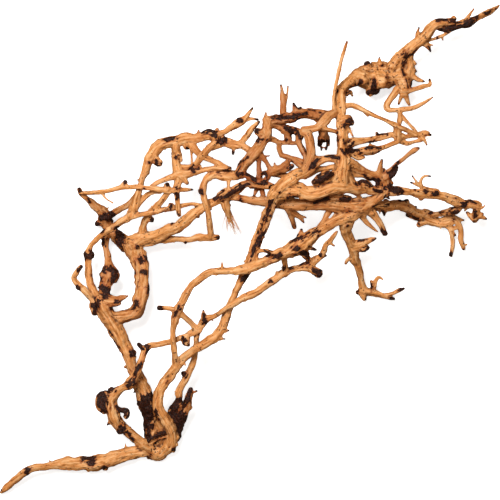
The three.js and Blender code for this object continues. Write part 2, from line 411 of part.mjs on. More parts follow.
    [[362, 291, 4.4, 4.2], [370, 292.5, 4, 3.7], [377, 293.8, 4, 3.3], [384, 295.6, 4, 2.6],
      [390, 297.5, 4, 1.9], [394.5, 299, 3.5, 1.1]],
    [[386, 294.8, 5, 2], [393, 293.5, 7, 2], [399, 290.5, 9, 1.9], [404, 288.5, 11, 1.2]],
    [[373, 292, 5, 2.4], [374.5, 284, 9, 1.9], [376.5, 279.5, 11, 1.7], [379, 277.3, 12, 1.5],
      [383, 279.5, 13, 0.9]],
  ],
  right_arm: [
    [[384, 190, 56, 5], [391, 191.5, 55, 4.6], [398, 191.4, 53, 4.4], [405, 191.3, 51, 4.1],
      [412, 192.3, 48, 3.8], [420, 194, 46, 4.2], [428, 194.3, 44, 3.8], [436, 194.8, 42, 3.8],
      [444, 196.2, 40, 4.2], [451, 198.8, 38, 4.8], [458, 202, 36, 5], [465, 204, 34, 4.2],
      [471, 204, 32, 3.6], [477, 206, 30, 3.4]],
    [[438, 191.5, 43, 2.2], [430, 189.5, 45, 1.7], [424, 187.8, 47, 1.6], [419, 185.5, 49, 1.5],
      [410.5, 182.3, 52, 0.9]],
    [[419, 185.8, 49, 1.4], [416, 181, 52, 1.2], [412.2, 175.8, 54, 1]],
    [[422, 187, 48, 1.6], [420.8, 182, 50, 1.5], [422, 178.5, 52, 1.4], [425.5, 176, 54, 1.2],
      [430.5, 176.3, 55, 0.9]],
    [[470, 203, 32, 2.6], [477, 202.5, 31, 2], [481.5, 205, 30, 1.2]],
    [[477, 206, 30, 3.4], [476, 212, 28, 3.4], [475, 218, 25, 3.4], [474, 221.5, 24, 1.8]],
    [[476, 217, 26, 3], [481, 217, 26, 2.4], [486.5, 219, 26, 1]],
  ],
  lower_arm: [
    [[368, 203.5, 52, 5], [374, 204.5, 46, 4.6], [382, 206.5, 40, 4.6], [389, 206.5, 35, 5],
      [396, 205, 29, 4.8], [402, 205.5, 24, 5], [408, 208, 18, 4.8], [414, 212, 12, 5], [420, 215, 6.6, 5],
      [427, 218.5, 4, 5.4], [434, 221, 4.2, 4.8], [441, 223, 7, 4.2], [447, 223.5, 9, 3.6],
      [452, 221, 11, 3.2]],
    [[403, 204, 24, 3.6], [407, 201.5, 23, 2.8]],
    [[420, 217.5, 8, 3], [413, 216.5, 9, 2.4], [407, 214.5, 10, 1.8]],
  ],
  claw: [
    [[425, 213, 8, 4], [432, 214.8, 9, 3], [438, 214.3, 12, 2.5], [444, 212.8, 17, 2.8],
      [450, 211.5, 22, 3.5], [455, 210.5, 27, 3.8], [460, 208, 31, 2.6]],
  ],
  claw_toes: [
    [[441, 221, 8, 2.6], [448, 217.5, 11, 3], [454, 218, 12, 3], [457, 222, 11, 2.8], [460, 227, 10, 2.4],
      [461, 233, 8, 2.2], [460.5, 239, 7, 2.2], [462, 244, 5.5, 2], [463.5, 249, 4, 1.6]],
    [[447, 226, 8, 2.8], [450, 228.5, 8, 2.6], [451.5, 234, 7, 2.1], [452.7, 240, 5, 2],
      [452.5, 247, 4, 1.9], [450.5, 255.5, 2.2, 1.6]],
    [[449, 228, 8, 2.2], [455, 228, 9, 1.8], [459.5, 226, 10, 2]],
  ],
};

// Limbs whose wood is redder or darker than the rest
const AMBER_LIMBS = ["stump", "low_knuckle", "knob_limb", "dark_limb", "ragged_cup", "lower_limb", "lattice"];
const BARK_LIMBS = ["dark_tangle"];
const HONEY = new THREE.MeshStandardMaterial({ color: 0xd7914f, roughness: 0.62, metalness: 0 });
const AMBER = new THREE.MeshStandardMaterial({ color: 0xa8612b, roughness: 0.68, metalness: 0 });
const BARK = new THREE.MeshStandardMaterial({ color: 0x33221d, roughness: 0.85, metalness: 0 });

const wasm = await Module();
wasm.setup();
const { Manifold, Mesh } = wasm;

// The place in space of a point of the plan: across and down shrink towards the eye's axis as it rises.
function placeOf([across, down, height]) {
  const shrink = (EYE_HEIGHT - height) / EYE_HEIGHT;
  const half = PLAN_SIDE / 2;
  return new THREE.Vector3(
    (across - half) * shrink + ORIGIN_SHIFT[0],
    (half - down) * shrink + ORIGIN_SHIFT[1],
    height,
  );
}

// A closed three.js geometry as a manifold-3d solid.
function solidOf(geometry) {
  const bare = geometry.clone();
  bare.deleteAttribute("normal");
  bare.deleteAttribute("uv");
  const merged = mergeVertices(bare, MERGE_DISTANCE);
  return new Manifold(
    new Mesh({
      numProp: 3,
      vertProperties: new Float32Array(merged.attributes.position.array),
      triVerts: new Uint32Array(merged.index.array),
    }),
  );
}

// The plan points of a shoot as places in space with a radius, without those that a straight tube
// between their neighbours already follows.
function ringsOf(points) {
  const rings = points.map((point) => ({
    centre: placeOf(point),
    radius: (point[3] * (EYE_HEIGHT - point[2])) / EYE_HEIGHT,
  }));
  const keep = (first, last) => {
    const chord = new THREE.Line3(rings[first].centre, rings[last].centre);
    const nearest = new THREE.Vector3();
    let worst = FOLLOW;
    let worstRing = 0;
    for (let i = first + 1; i < last; i += 1) {
      const share = chord.closestPointToPointParameter(rings[i].centre, true);
      const aside = chord.at(share, nearest).distanceTo(rings[i].centre);
      const thinner = THREE.MathUtils.lerp(rings[first].radius, rings[last].radius, share) - rings[i].radius;
      const miss = Math.max(aside, Math.abs(thinner)) / (1 + rings[i].radius / THICK);
      if (miss > worst) [worst, worstRing] = [miss, i];
    }
    return worstRing ? [...keep(first, worstRing), ...keep(worstRing, last)] : [rings[first]];
  };
  return [...keep(0, rings.length - 1), rings.at(-1)];
}

// One shoot: a tube of changing thickness through its rings, with domed ends, made thicker by extra.
function shootSolid(points, extra) {
  const rings = ringsOf(points);
  const steps = rings.length - 1;
  const thickest = Math.max(...rings.map(({ radius }) => radius));
  const sides = thickest < THICK ? FEW_SIDES : MANY_SIDES;
  const curve = new THREE.CatmullRomCurve3(rings.map(({ centre }) => centre), false, "centripetal");
  let normal = new THREE.Vector3(0, 0, 1);
  const frames = rings.map(({ centre, radius }, ring) => {
    const tangent = curve.getTangent(ring / steps);
    normal = normal.clone().addScaledVector(tangent, -normal.dot(tangent));
    if (normal.length() < STEEP) normal.set(1, 0, 0).addScaledVector(tangent, -tangent.x);
    normal.normalize();
    return { centre, radius: radius + extra, tangent, normal, binormal: tangent.clone().cross(normal) };
  });
  const tube = new THREE.CylinderGeometry(1, 1, 1, sides, steps);
  const position = tube.attributes.position;
  const place = new THREE.Vector3();
  for (let i = 0; i < position.count; i += 1) {
    const ring = Math.round((position.getY(i) + 0.5) * steps);
    const { centre, radius, tangent, normal: up, binormal: side } = frames[ring];
    const [sideways, upwards] = [position.getX(i), position.getZ(i)];
    place
      .copy(centre)
      .addScaledVector(side, sideways * radius)
      .addScaledVector(up, upwards * radius);
    if (Math.hypot(sideways, upwards) < 0.5) {
      place.addScaledVector(tangent, (ring === 0 ? -1 : 1) * TIP_BULGE * radius);
    }
    position.setXYZ(i, place.x, place.y, place.z);
  }
  return solidOf(tube);
}

// A limb with the shoots that grow out of it, made thicker by extra.
function limbSolid(shoots, extra) {
  return shoots.map((points) => shootSolid(points, extra)).reduce((limb, shoot) => limb.add(shoot));
}

function boxesMeet(a, b) {
  return [0, 1, 2].every((axis) => a.min[axis] < b.max[axis] && b.min[axis] < a.max[axis]);
}

// The largest of the bodies that a cut leaves.
function largestBody(solid) {
  return solid.decompose().reduce((best, body) => (body.volume() > best.volume() ? body : best));
}

function geometryOf(solid) {
  const { vertProperties, triVerts } = solid.getMesh();
  const geometry = new THREE.BufferGeometry();
  geometry.setAttribute("position", new THREE.BufferAttribute(vertProperties, 3));
  geometry.setIndex(new THREE.BufferAttribute(triVerts, 1));
  geometry.computeVertexNormals();
  return geometry;
}

function materialOf(name) {
  if (BARK_LIMBS.includes(name)) return BARK;
  return AMBER_LIMBS.includes(name) ? AMBER : HONEY;
}

// The block under the table top: it trims the lowest limbs flat.
const tableBlock = solidOf(
  new THREE.BoxGeometry(2 * PLAN_SIDE, 2 * PLAN_SIDE, TABLE_CUT).translate(0, 0, -TABLE_CUT / 2),
);

// The mean radius of a limb's first shoot
function thicknessOf([limb]) {
  return limb.reduce((sum, [, , , radius]) => sum + radius, 0) / limb.length;
}

// Thick limbs come first, and each thinner one stops just short of those it grows from.
const branch = new THREE.Group();
const cutters = [];
const byThickness = Object.entries(LIMBS).sort(([, a], [, b]) => thicknessOf(b) - thicknessOf(a));
for (const [name, shoots] of byThickness) {
  let limb = limbSolid(shoots, 0).subtract(tableBlock);
  const box = limb.boundingBox();
  for (const cutter of cutters) {
    if (boxesMeet(box, cutter.box)) limb = limb.subtract(cutter.solid);
  }
  limb = largestBody(limb);
  const thicker = limbSolid(shoots, GAP);
  cutters.push({ solid: thicker, box: thicker.boundingBox() });
  const mesh = new THREE.Mesh(geometryOf(limb), materialOf(name));
  mesh.name = name;
  branch.add(mesh);
}

export default branch;
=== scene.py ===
"""A driftwood branch: a bare root mass of forked, crossing limbs, lying on a pale table, seen from above.

Lengths in the tables are millimetres. What Blender gets is in metres, in the frame's own axes.
"""

from __future__ import annotations

import logging
import math
from dataclasses import dataclass, field
from enum import Enum

import bpy
import numpy as np
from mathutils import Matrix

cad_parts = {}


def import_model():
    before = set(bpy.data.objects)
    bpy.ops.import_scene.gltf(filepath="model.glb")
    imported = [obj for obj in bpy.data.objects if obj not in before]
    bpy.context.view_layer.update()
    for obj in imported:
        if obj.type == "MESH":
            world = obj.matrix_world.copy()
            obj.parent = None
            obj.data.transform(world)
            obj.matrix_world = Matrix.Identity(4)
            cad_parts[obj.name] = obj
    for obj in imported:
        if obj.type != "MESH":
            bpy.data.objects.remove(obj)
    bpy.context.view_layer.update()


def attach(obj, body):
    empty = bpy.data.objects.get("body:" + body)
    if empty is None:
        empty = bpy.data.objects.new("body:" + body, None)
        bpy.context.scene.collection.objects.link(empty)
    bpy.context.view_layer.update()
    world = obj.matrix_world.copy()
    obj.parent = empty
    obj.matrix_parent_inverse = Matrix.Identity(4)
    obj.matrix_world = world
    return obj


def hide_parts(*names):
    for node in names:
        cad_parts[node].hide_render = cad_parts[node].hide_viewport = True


LOG = logging.getLogger("driftwood")
MM = 0.001
Socket = bpy.types.NodeSocket
Tree = bpy.types.NodeTree

# Each limb is a list of wooden shoots: the first is the limb itself, and the others grow out of it.
# A shoot is a list of points, and a point is [across, down, height, radius]. Across and down are read
# on the plan sheet from its far left corner. Height is the height of the shoot's middle above the table.
LIMBS: dict[str, list[list[list[float]]]] = {
  # The base, where every root starts
  "base_knee": [
    [[168,423,24,5],[172,432,20,5],[171.5,441,15,5.8],[166.5,448,9.4,7],[158,452.5,6,7.8],[150.5,450,7,7.2],
     [142,443.5,15,5.2]], [[170,449,12,3],[174,450,12,2.8]], [[150,452,6,4],[149,457.5,5,2]],
  ],
  "long_root": [
    [[147,451,9,5.4],[136,452.5,10,6.4],[120,456,11,7.6],[105,461,11,7.8],[92,463.5,10,7.8],[78,463.5,9.5,6.5],
     [66,463,10,6.2],[57,464.5,12,4.5],[45,466.5,14,3.3],[34,467.5,16,3.6],[25,472,15,3.6],[14,481,11,3.6],
     [6,488,7,3],[1,492.5,4,1.4]], [[105,464,12,4],[105,469,12,2.4]],
  ],
  "left_trunk": [
    [[154,444,7,5.6],[151,436,8,5.4],[150.5,425,9.5,6],[150.5,415,12,7],[148,405,16,8.8],[144.5,395,19,9],
     [140.5,385,21.5,8],[136,374,24,6.5],[131.5,365,25,5],[128.5,355,26,5.8],[124,345,27,6.2],[119,335,28,6.6],
     [114,325,29,7.5],[107,314,30,8],[103,306,31,8],[99,300,31,6]], [[130,354,27,4],[133.5,353,28,3]],
    [[130,366,25,3],[124.5,367,26,1.2]], [[98,303,31,5],[94,306,31,4.5],[94,314,31,2.5]],
    [[105,303,35,3.5],[113,303,37,3],[119.5,303,38,2.3]],
    [[152,412,11,4.4],[155,420,9,4.8],[159,428,7.5,4.8],[162,437,6.5,4.8]],
    [[146,442,14,1.9],[151,439,16,1.9],[157,435.5,18,1.8],[162,433,19,1.7],[168,431,20,1.8]],
    [[150,445,13,1.4],[156,440.5,15,1.1],[163,437.5,17,1.1],[169,436,18,1.4]],
  ],
  "stump": [
    [[179.5,393.5,23.5,3],[178.5,400,21.5,3],[176,406,20,4],[173.5,414,16,5.6],[172.5,423,12,6],[168,434,8,6],
     [160,443,6.4,6]],
    [[190.5,389,30,1.8],[189.5,395,28,3.4],[187,404,25,4],[183,412,21,5],[179,420,16,6],[177,429,12,5.2],
     [175,437,9,4.4],[168,445,7,5]], [[190,394,29,1.4],[197,391,31,0.9]], [[186,405,23,3.4],[190.5,408,24,2]],
    [[177,405,20,2.4],[181.5,401,21,1.4]],
  ],
  "inner_root": [
    [[197,333,38,2.7],[196,346,33,2.5],[195,355,32,3],[193,363,31,3],[189,372,29,3.2],[185,380,27,3.1],[181,387,25,3],
     [178,395,23,3.1]], [[188,372.6,29.5,2.2],[183.4,374,30.5,2.5]],
  ],
  "rising_root": [
    [[168,423,24,5],[162.5,415,27.5,4.8],[158.5,407,29.5,4.7],[158.8,396,31,4.7],[161.5,387,32,5],[166,380.5,33,5.2],
     [172,373,35,5],[178,364,38,4.6]],
  ],
  "middle_root": [
    [[178,364,38,4.6],[185,357,41,4.2],[195,349,44,4],[205,343,46,4.2],[215,337,48,4.3],[222,328,49,4.4],
     [226,317,50,4.3],[229,309,50,4],[232,302,50,3.5],[236,291,52,3.7]],
    [[215,337,48,3],[221,338.5,49,1.7],[225,339,50,0.5]], [[219,332,49,3],[226,330.5,50,1.8],[229,330.5,51,0.6]],
  ],
  "centre_root": [
    [[236,291,52,3.7],[241,281,55,4.2],[246,272,57,4.6],[251,258,59,4.6],[257,240,62,4.7],[262,230,65,5.1],
     [265.5,220,68,5],[269,210,71,4.8],[271.5,200,75,5.4],[275,193,77,6]],
  ],
  "left_arm": [
    [[142,443.5,15,5.2],[134.5,438,18,4.8],[128,432.5,20.5,4.8],[122,427.5,23,5.4],[115.5,419,26.5,6],
     [112.5,409,29,6.6],[112,400,31,6.2],[116,393,34,4.7],[124,387,37,4.3],[130,383.5,39,5]],
    [[110,399,30,6],[103.5,397,29.5,6.4],[103,405,29,6.6],[106,409,29,5]],
    [[114,406,31,3],[120,409.5,33,2.1],[126,410.5,34,2.4],[127.6,413.5,34,2.3],[125.5,417,34,1.9]],
    [[114,393,34,3],[110.5,389.5,35,2.8]], [[123,428,24,4.6],[119.5,431.5,25,3.4]],
    [[113,420,26,3],[107.5,424.5,27,1]],
  ],
  "arm_strut": [
    [[130,383.5,39,5],[136,374,41,4],[141,362,41,3],[143.5,353,39,3],[148,346.5,38,3.1],[160,344.2,39,2.8],
     [170,342,40,2.9],[180,338,40,2.8],[190,334,40,2.9]], [[145,351,39,2.4],[138.5,344,41,1.8]],
    [[187,337,40,3],[187,344,40,2.4]], [[183,340,40,2],[184,344,40,1.6],[189,345,40,1.6]],
  ],

  # The left side
  "fork_trunk": [
    [[107,318,30,7],[115,318.5,29,6.5],[124,317,28,5.8],[132,314.5,27,6],[138,309,27,6.5],[140.5,300,27,6.8],
     [142,290,26,6.2],[142,280,25,6.6],[141.5,270,23,7],[140,262,22,8],[136.5,254,20,9],[133,246,19,10]],
  ],
  "low_knuckle": [
    [[126,245,15,7.4],[121,240.5,11.5,7],[116,236,6.6,6.5],[110,230,4.6,6.3],[106,223,5.6,6.3],[104,215,11,5.5],
     [99,209,15,4.6],[93,204,20,3.6],[87,199,25,2.6],[82,194.5,28,2],[79,189,30,1.7]],
    [[103,223,8,4],[97,223.5,9,2.8]],
    [[106,218,10,3.4],[114,213.5,16,3],[121,209,22,2.9],[126,206,27,2.6],[131,201.5,32,2.4],[136,195,38,2.3],
     [140,189,42,2.2]],
  ],
  "loop_limb": [
    [[98,299,31,3.6],[93,290,30,3.3],[89.5,280,28,3.2],[88.3,270,26,3.3],[88.5,262,25,3.4],[88.5,255,25,4.2],
     [90.5,247,26,2.7],[95,241,28,2.8],[101,235.5,31,2.8],[108,230.5,34,2.9],[115,226,37,3],[122,221.5,39,3.4],
     [129,216.5,40,3.8],[133,210,41,4.3]], [[86.4,255,26,3.4],[91.6,255,26,3.4]],
  ],
  "elbow_limb": [
    [[95,302,32,3.4],[90,297,33,3],[84,290,35,3],[79,285,36,2.6],[74,279,37,2.4],[77,272,40,2.2],[81.5,266,43,1.6]],
    [[80,286,36,3],[77.5,287.5,36,2.4]],
  ],
  "knob_limb": [
    [[106,236,14,4],[105.5,245,16,3.4],[107,254,19,3.5],[108,262,22,3.8],[108.5,270,25,6.5],[108,278,27,6.8],
     [105,286,28,5.5],[105,294,29,5],[104,302,30,6]], [[112,270,26,4.5],[115,274,27,3.6],[114,281,28,3]],
    [[108,297,33,3],[115,299,36,3],[121,298.5,38,2.6],[128,296,40,1]], [[105.5,243,16,3],[103,242.5,16,2.4]],
    [[118,302,34,3],[112,301,33,3]],
  ],
  "arch_limb": [
    [[131,216,41,4],[134,208,43,4.5],[136,200,45,4.2],[138.5,192,47,3.7],[141,185,48,3.3],[143,178,48,3.3],
     [146,170,47,3.9],[148,162,46,4.5],[152,155,45,5.3],[157,149,44,5.8],[163,144.5,44,5.3],[170,142.5,45,5],
     [178,141,46,5.3]], [[153,156,45,4],[157,161.5,45,4],[160,163,46,3.4]], [[142.5,180,48,2],[137.5,180,49,0.9]],
    [[136,208,43,2.6],[142,200.5,44,2.5],[147,195.5,46,2.5],[153,192.5,50,2.4],[160,191.5,53,2.3]],
  ],
  "arch_top": [
    [[178,141,46,5.3],[186,138.5,48,5.5],[193,138.5,50,5],[200,137.5,52,4],[207,136,54,4],[213,137,56,4],
     [217,140,58,3.5]], [[186,143,47,4],[187,148,47,2.4]], [[202,135,53,2.6],[208,131,54,2.4],[213.5,132.5,56,2.4]],
    [[198,135,52,2],[198.5,130,53,0.8]],
  ],
  "long_twig": [
    [[81,193.5,29,1.9],[90,193,34,2],[100,192,39,2.2],[110,190.5,44,2.2],[121,188,49,2.2],[131,187,53,2.2],
     [141,187,56,2],[150,188.3,57,2.3],[160,189.5,56,2.7],[168,190.5,54,2.8],[176,190,52,3],[184,189.8,50,2],
     [192.5,189.5,49,1.2]], [[121,187,49,2],[125.7,182,50,2.2]], [[168.5,189,55,3],[166.5,184.5,56,2.4]],
    [[102,193,40,1.4],[105.5,198.2,41,1.1],[113,203,42,0.6]],
    [[176,191,52,2.6],[177.5,198,50,2.4],[178,206,48,2.1],[178.8,212,46,2],[179.5,215.8,45,1.6]],
  ],
  "side_twig": [
    [[131,216,41,3.5],[139,214.8,43,2.4],[148,213.3,44,2.4],[158,211.3,44,2.5],[168,208.8,44,2.6],[177,206.8,43,2.4],
     [186,204.8,44,1.9],[193,204,45,1.7],[200,205.5,46,2]], [[171,208,45,2.8],[171.5,204.5,46,2.2]],
  ],
  "diagonal_twig": [
    [[142,239,20,5],[143,231,25,3.7],[144,224,30,3.1],[147,217.5,35,3.2],[152,211,39,2.9],[157,206,44,2.9],
     [161.5,201,48,2.8],[166,195,51,2.7],[169,191,53,2.5]], [[148,219,35,2.6],[152.5,219.5,36,2.4]],
  ],
  "left_limb": [
    [[133,243,20,9],[145,238.5,23,6.5],[156,236,27,6],[167,231.5,32,5.6],[177,227.5,37,5.3],[185,221.5,41,5.2],
     [192,215.5,44,5],[199,210,46,4.8],[207,205.5,48,4.6],[215,201,51,4.6],[224,197,55,4.6]],
    [[219,195,54,3],[224,191,57,2.6],[229,189,59,2]],
    [[225,201,52,4.5],[226.5,207,49,4.3],[228,213,45,3],[230,219,41,1.7],[232.5,224,39,0.7]],
    [[224,197,55,4.6],[232,192,59,4.6],[239,187.5,62,4.2],[246,184,64,3.6],[253,184,65,3],[262,186,68,2.6],
     [270,187,71,2.6]],
  ],
  "lower_fork": [
    [[145,243,20,4.5],[155,241,21,4],[166,239.5,23,3.6],[176,239.3,26,3],[185,239.8,29,2.4],[192,239,32,2.6],
     [198,237.5,35,3.4],[205,237.5,38,3],[212,237.5,40,3],[218,237,41,2.5]], [[185,240,29,2],[185.5,243.5,29,1]],
  ],
  "cross_limb": [
    [[211,237,41,3],[209.8,228,47,2.6],[209,219,53,2.7],[207.8,211,57,2.7],[206,204,59,2.8],[204,197,60,2.8],
     [203.3,190,59,3],[204.5,183,58,3.1],[208,177.5,57,3.6],[214,175,56,4.4],[223,175.5,57,4.5],[233,176,59,4.6],
     [242,173,61,5]], [[204,191,59,2.6],[199.8,191.5,59,2]], [[230,175,58,2.4],[228.6,184,60,1.5],[228,191,60,1.4]],
  ],
  "upper_left_twig": [
    [[151,186.5,51,1.8],[158,182.5,51,1.9],[166,179,52,2.2],[174,176,53,3],[183,174.3,53,3.8],[191,173,54,3.3],
     [199,171,55,2.6],[207,169.3,57,2.3],[214,168,59,2.2],[222,168.5,61,2.1],[230,168.5,63,2]],
    [[182,177,53,3.4],[187.5,183.5,53,1.6]],
  ],
  "hanging_limb": [
    [[176,146,46,4.6],[176.5,155,45,4.5],[176,163,47,4],[177.5,171,50,4.6],[178.5,179,51,4.4],[177,187,52,3.4]],
    [[180,154,46,2],[181.5,161,47,1.3]], [[179,168,48,3.5],[187,168.5,50,3.3],[194,168,52,3.4],[200,166.5,53,2]],
  ],
  "crossing_twigs": [
    [[194,168,52,3],[197,163,55,3],[201.5,157,58,3.2],[206.5,151,60,3.4],[211.5,145.5,60,3.2],[216,141,60,3]],
    [[191,144,50,3.4],[196.5,151,54,3],[203,156,57,2.9],[211,160,58,2.5],[219,163.5,59,2.3],[228,168,62,2]],
    [[191,148,51,1.4],[191.5,156,51,1.1],[192,165,52,1.1]],
  ],
  "top_fork": [
    [[211,147,58,3.2],[218,144.5,57,3.7],[225,142.5,57,4],[233,144,59,4.2],[240,145,61,3.7],[246,147.5,63,3],
     [252,152,65,3]], [[223,143,58,4],[224,138.5,59,3.2]], [[234,147,59,1.6],[233,154,60,1.1]],
    [[241,143,61,3],[246,137,64,3],[250,131.5,67,3.1],[254,126.5,70,2.4],[259,121.8,73,1.6]],
  ],
  "top_prong": [
    [[214,135,56,3],[220,133.5,58,2.4],[226,131.5,60,2.4],[231,127.5,62,3.1],[236.5,124,64,3.8],[242,121,66,3.6],
     [246,117,68,2.2],[249.5,112,70,1.7],[252.5,108,72,1.3]],
    [[244,120,66,2.2],[252,118.7,66,1.5],[258,119.7,66,1.2]], [[217,133,57,2],[217,129,57,1.6]],
  ],

  # The crown, and the tangle in the middle
  "curved_limb": [
    [[266.5,119,76,4],[267.5,127,75,5],[266.5,135,73,5.4],[262.5,142,71,5.5],[258,148,69,5.5],[253,154,67,5.4],
     [248,160,65,5.4],[243,167,63,5.6],[239,174,61,5]], [[265,119,76,2],[266,112.5,78,0.9]],
    [[262,133,74,4],[257,131,74,3]],
  ],
  "dark_limb": [
    [[267,121,75,4.3],[275,119.5,74,4.5],[283,119,73,4.8],[291,117.5,71,4.7],[299,114.5,69,5],[308,114,66,4.7],
     [317,115,64,5.2],[326,115,62,4.5],[335,113.5,60,3.4]], [[296,112,70,3],[293.5,103,71,1]],
    [[297,111,70,2],[301,107.5,70,1.2]], [[312,117,64,1.6],[317.5,122.5,63,0.9]], [[322,117,62,4.4],[321,123.5,61,2]],
    [[284,118,68,2.6],[283.5,108,65,3],[283,100,63,2.4],[282,92,61,1.7],[281,85,60,1.1]],
    [[285,105,64,1.6],[287,95,62,1.2],[288,86,61,0.9]],
  ],
  "lattice": [
    [[268,124,74,4],[275,125,72,3.3],[281,127.5,70,3.6],[287,130,69,4.8],[293,130,68,3.5],[299,133,67,3.6],
     [299,142,69,2.8],[302,149,70,2.8],[305,156.5,72,2.2],[306,163.5,75,1.8]], [[287,133,68,3.6],[288,141.5,66,3.2]],
    [[267,138,71,3.2],[273,139.5,69,2.8],[279,142.5,67,2.4],[286,143,66,1.9],[298,143,67,1.8]],
    [[279,143,67,2.2],[280,151,65,2.2],[282,154.8,64,2.2],[288,157,65,2.3],[294,160.5,67,2.5],[299,164.5,70,2.8],
     [304,169,74,3]], [[289,157,65,1.5],[297,158.8,68,1.4],[306,162,73,1.4]],
  ],
  "dark_tangle": [
    [[245,175,63,3],[251,178,66,2.6],[257,181,68,2.8],[264,183.5,69,2.7],[270,185,70,2.4],[276,188,73,2.5]],
    [[262,173.5,68,1.8],[266,172.5,70,1.8],[268,177,70,2.2],[264,181,70,2.4]],
    [[250,187,64,1.6],[258,186,66,2.6],[265,185.5,69,2.6]], [[257,181,66,2.8],[257,187,59,2.4],[254,196,61,1.2]],
    [[262,183,68,2.8],[262,189,60,2.4],[263,196,63,2.2]],
    [[259,152,66,3.4],[259,161,65,2.2],[259,168,64,2.1],[259.5,175.5,64,3],[259,182,65,4]],
    [[260.5,154.5,67,3],[264.5,159.5,67,2.2],[268.5,165.5,67,2],[272,171,67,2.5]],
    [[264,156,67,1],[269.5,156,67,0.8]],
  ],
  "stub_limb": [
    [[267,174,66,2.8],[275,170,67,4],[281,168,69,3.5],[286,164,71,2.8],[289.5,160,73,2]],
    [[282,171,69,2.4],[288,169,70,2.2],[292.5,165.5,71,1.8]], [[275,168,67,1.6],[274.5,163,68,0.9]],
    [[272,174,64,2.6],[280,175.5,61,2.8],[292,176,66,3]],
  ],
  "split_limb": [
    [[335,113,62,3.4],[327.5,117.5,68,4.4],[322.5,123.5,71,4],[316,128,73,3],[309,129.5,74,3],[303,131,75,3.4],
     [307.5,134.5,75,4.4],[310,142,76,4.8],[311.5,150,78,4.4],[310.5,158,80,4.2],[307.5,165,81,4.4],[304,171,81,4.6]],
    [[318,125.5,72,2.8],[324,128.8,71,2.2],[331,130.3,70,1.9],[340,133,68,2]],
  ],
  "ragged_cup": [
    [[323,125,66,4],[323.2,131,62,5.2],[323.6,138.6,57,5]],
    [[320.8,137,57.6,3.2],[320.2,141.5,55,2.6],[319.6,145.4,53,1.9]],
    [[320.4,142,55,1.3],[321,146.6,53,0.9],[321.5,150.4,51,0.6]],
    [[327,137,57.6,2.6],[328,141.5,55,1.7],[329.2,145.4,53,1]],
    [[327.6,141,55,1.3],[327.1,145.8,53,1.1],[325.9,149.4,51,1.1]], [[320.8,147.4,52.6,0.6],[327,147.6,52.6,0.6]],
  ],

  # The column, the head and the arm at the top right
  "column": [
    [[341,190,70,6],[341,181,74,7.4],[341.5,171,77,7.6],[343,162,76,7.5],[342,152,73,5.5],[342.3,142,70,5.2],
     [342.5,132,67,5.4],[341.5,122,63,5],[340.3,112,58,5.2],[340,102,51,5.2],[340.3,93,43,5.2],[345,86,36,5.2],
     [352,80.5,29,5.6]], [[343,122,65,4.6],[348,121,67,5],[352.5,123,68,2.4]],
    [[346,126,67,2],[350,131,67,1.2],[353,136.5,67,0.9]], [[346,94,37,2.6],[350,92,34,2],[352.5,96,32,0.8]],
    [[341,168,76,6],[335.5,177,77,6],[328,187,76,5]], [[342.5,167,76,6],[347.5,178,73,6],[355,187.5,68,4.6]],
  ],
  "head": [
    [[352,80.5,29,5.6],[359,77,24,7.5],[366,77,14.6,12],[373,78,11.6,15],[382,76,11.2,14.5],[391,75.5,12.2,13],
     [399,77,17,10],[404,84,20,7],[405.5,91,21,4.5]], [[367,68,20,4],[367,63,20,2.6]],
    [[380,64,20,3],[379.3,57.5,21,0.9]], [[364,80,28,4],[362,83,28,2.6]], [[382,80,24,6],[382,85,25,4.4]],
    [[372,88,16,7],[369,93,15,3.6]],
    [[405.5,91,21,3.4],[412,90,23,2.2],[419,88,25,2],[425,86,27,1.8],[430,85,29,1.6],[429.5,79,31,1.1]],
    [[404,88,21,4],[401,97,20,1.9],[398.5,104,18,1.1]], [[405,93,21,3],[407,100,19,1.9],[409.3,105,17,1.2]],
  ],
  "long_arm": [
    [[394,67,20,8],[399,59,23,6.5],[405,53.5,26,5.6],[411.5,48,29,5.5],[418,42.5,31,5.5],[424,37,32,5.4],
     [429,31,33,5.4],[434,26,33,5],[440,23,33,3.8],[446,22.3,32,3.3],[453,22,31,3.5]],
    [[419,40,32,3],[417.5,34,34,2],[419,27.5,34,0.9]], [[452,21,31,2.6],[454.5,18,32,2.4]],
    [[424,43,30,3],[428,47,29,2],[430.5,51.5,28,0.8]], [[427,44,29,1.8],[433,45.3,28,0.8]],
  ],
  "arm_tip": [
    [[438,28,28,2.8],[447,28.3,28,3.3],[454,26.5,28,3.8],[461,24.3,27,4.2],[467,22.8,26,4.3],[473,20,25,3.4],
     [479,17,23,2.9],[485,14,21,2.9],[490.5,11,18,2.4],[495,8.5,15,1.8],[499,5.5,12,1]],
    [[466,20,27,2],[470,14,29,1.3],[474,8.5,30,0.9]],
    [[429,40,30,1.6],[434,39,29,1.3],[438,37.5,29,1.5],[443,35.5,28,1.5],[448,32.5,28,1.4],[453,28.5,28,1.6]],
    [[442,36,28,1.2],[443,40,27,0.9]],
  ],
  "arm_strut_right": [
    [[409,55,24,5],[410,64,21,4.5],[409.5,73,19,4.8],[408.5,81,18,3.6],[407.5,88,19,2.6]],
    [[411,61,22,3],[416,64,22,1.2]], [[411,68,20,3.4],[416.5,71.5,20,1]],
    [[410,75,19,3.6],[415,77.5,20,2.6],[419,80,21,1.9],[424.5,81.5,22,1]],
  ],
  "head_fork": [
    [[398,89,20,3.5],[394,94,24,3],[390,100,28,2.8],[386.8,105.5,31,2.8],[388,109.5,33,2.4],[396,110,35,2.2],
     [405,109.3,37,2.3],[413,107.8,39,2.2],[420,105,41,1.9],[427,101,43,1.4],[433,97,45,0.9]],
    [[399.5,109.7,35.6,2.4],[400,117.5,41,2.3],[399.3,124.5,46,1.9]],
    [[400.3,114.5,39,1.9],[407,122,42,1.6],[412,127.5,43,1.6],[418,134,44,1.6]],
  ],
  "upright_stick": [
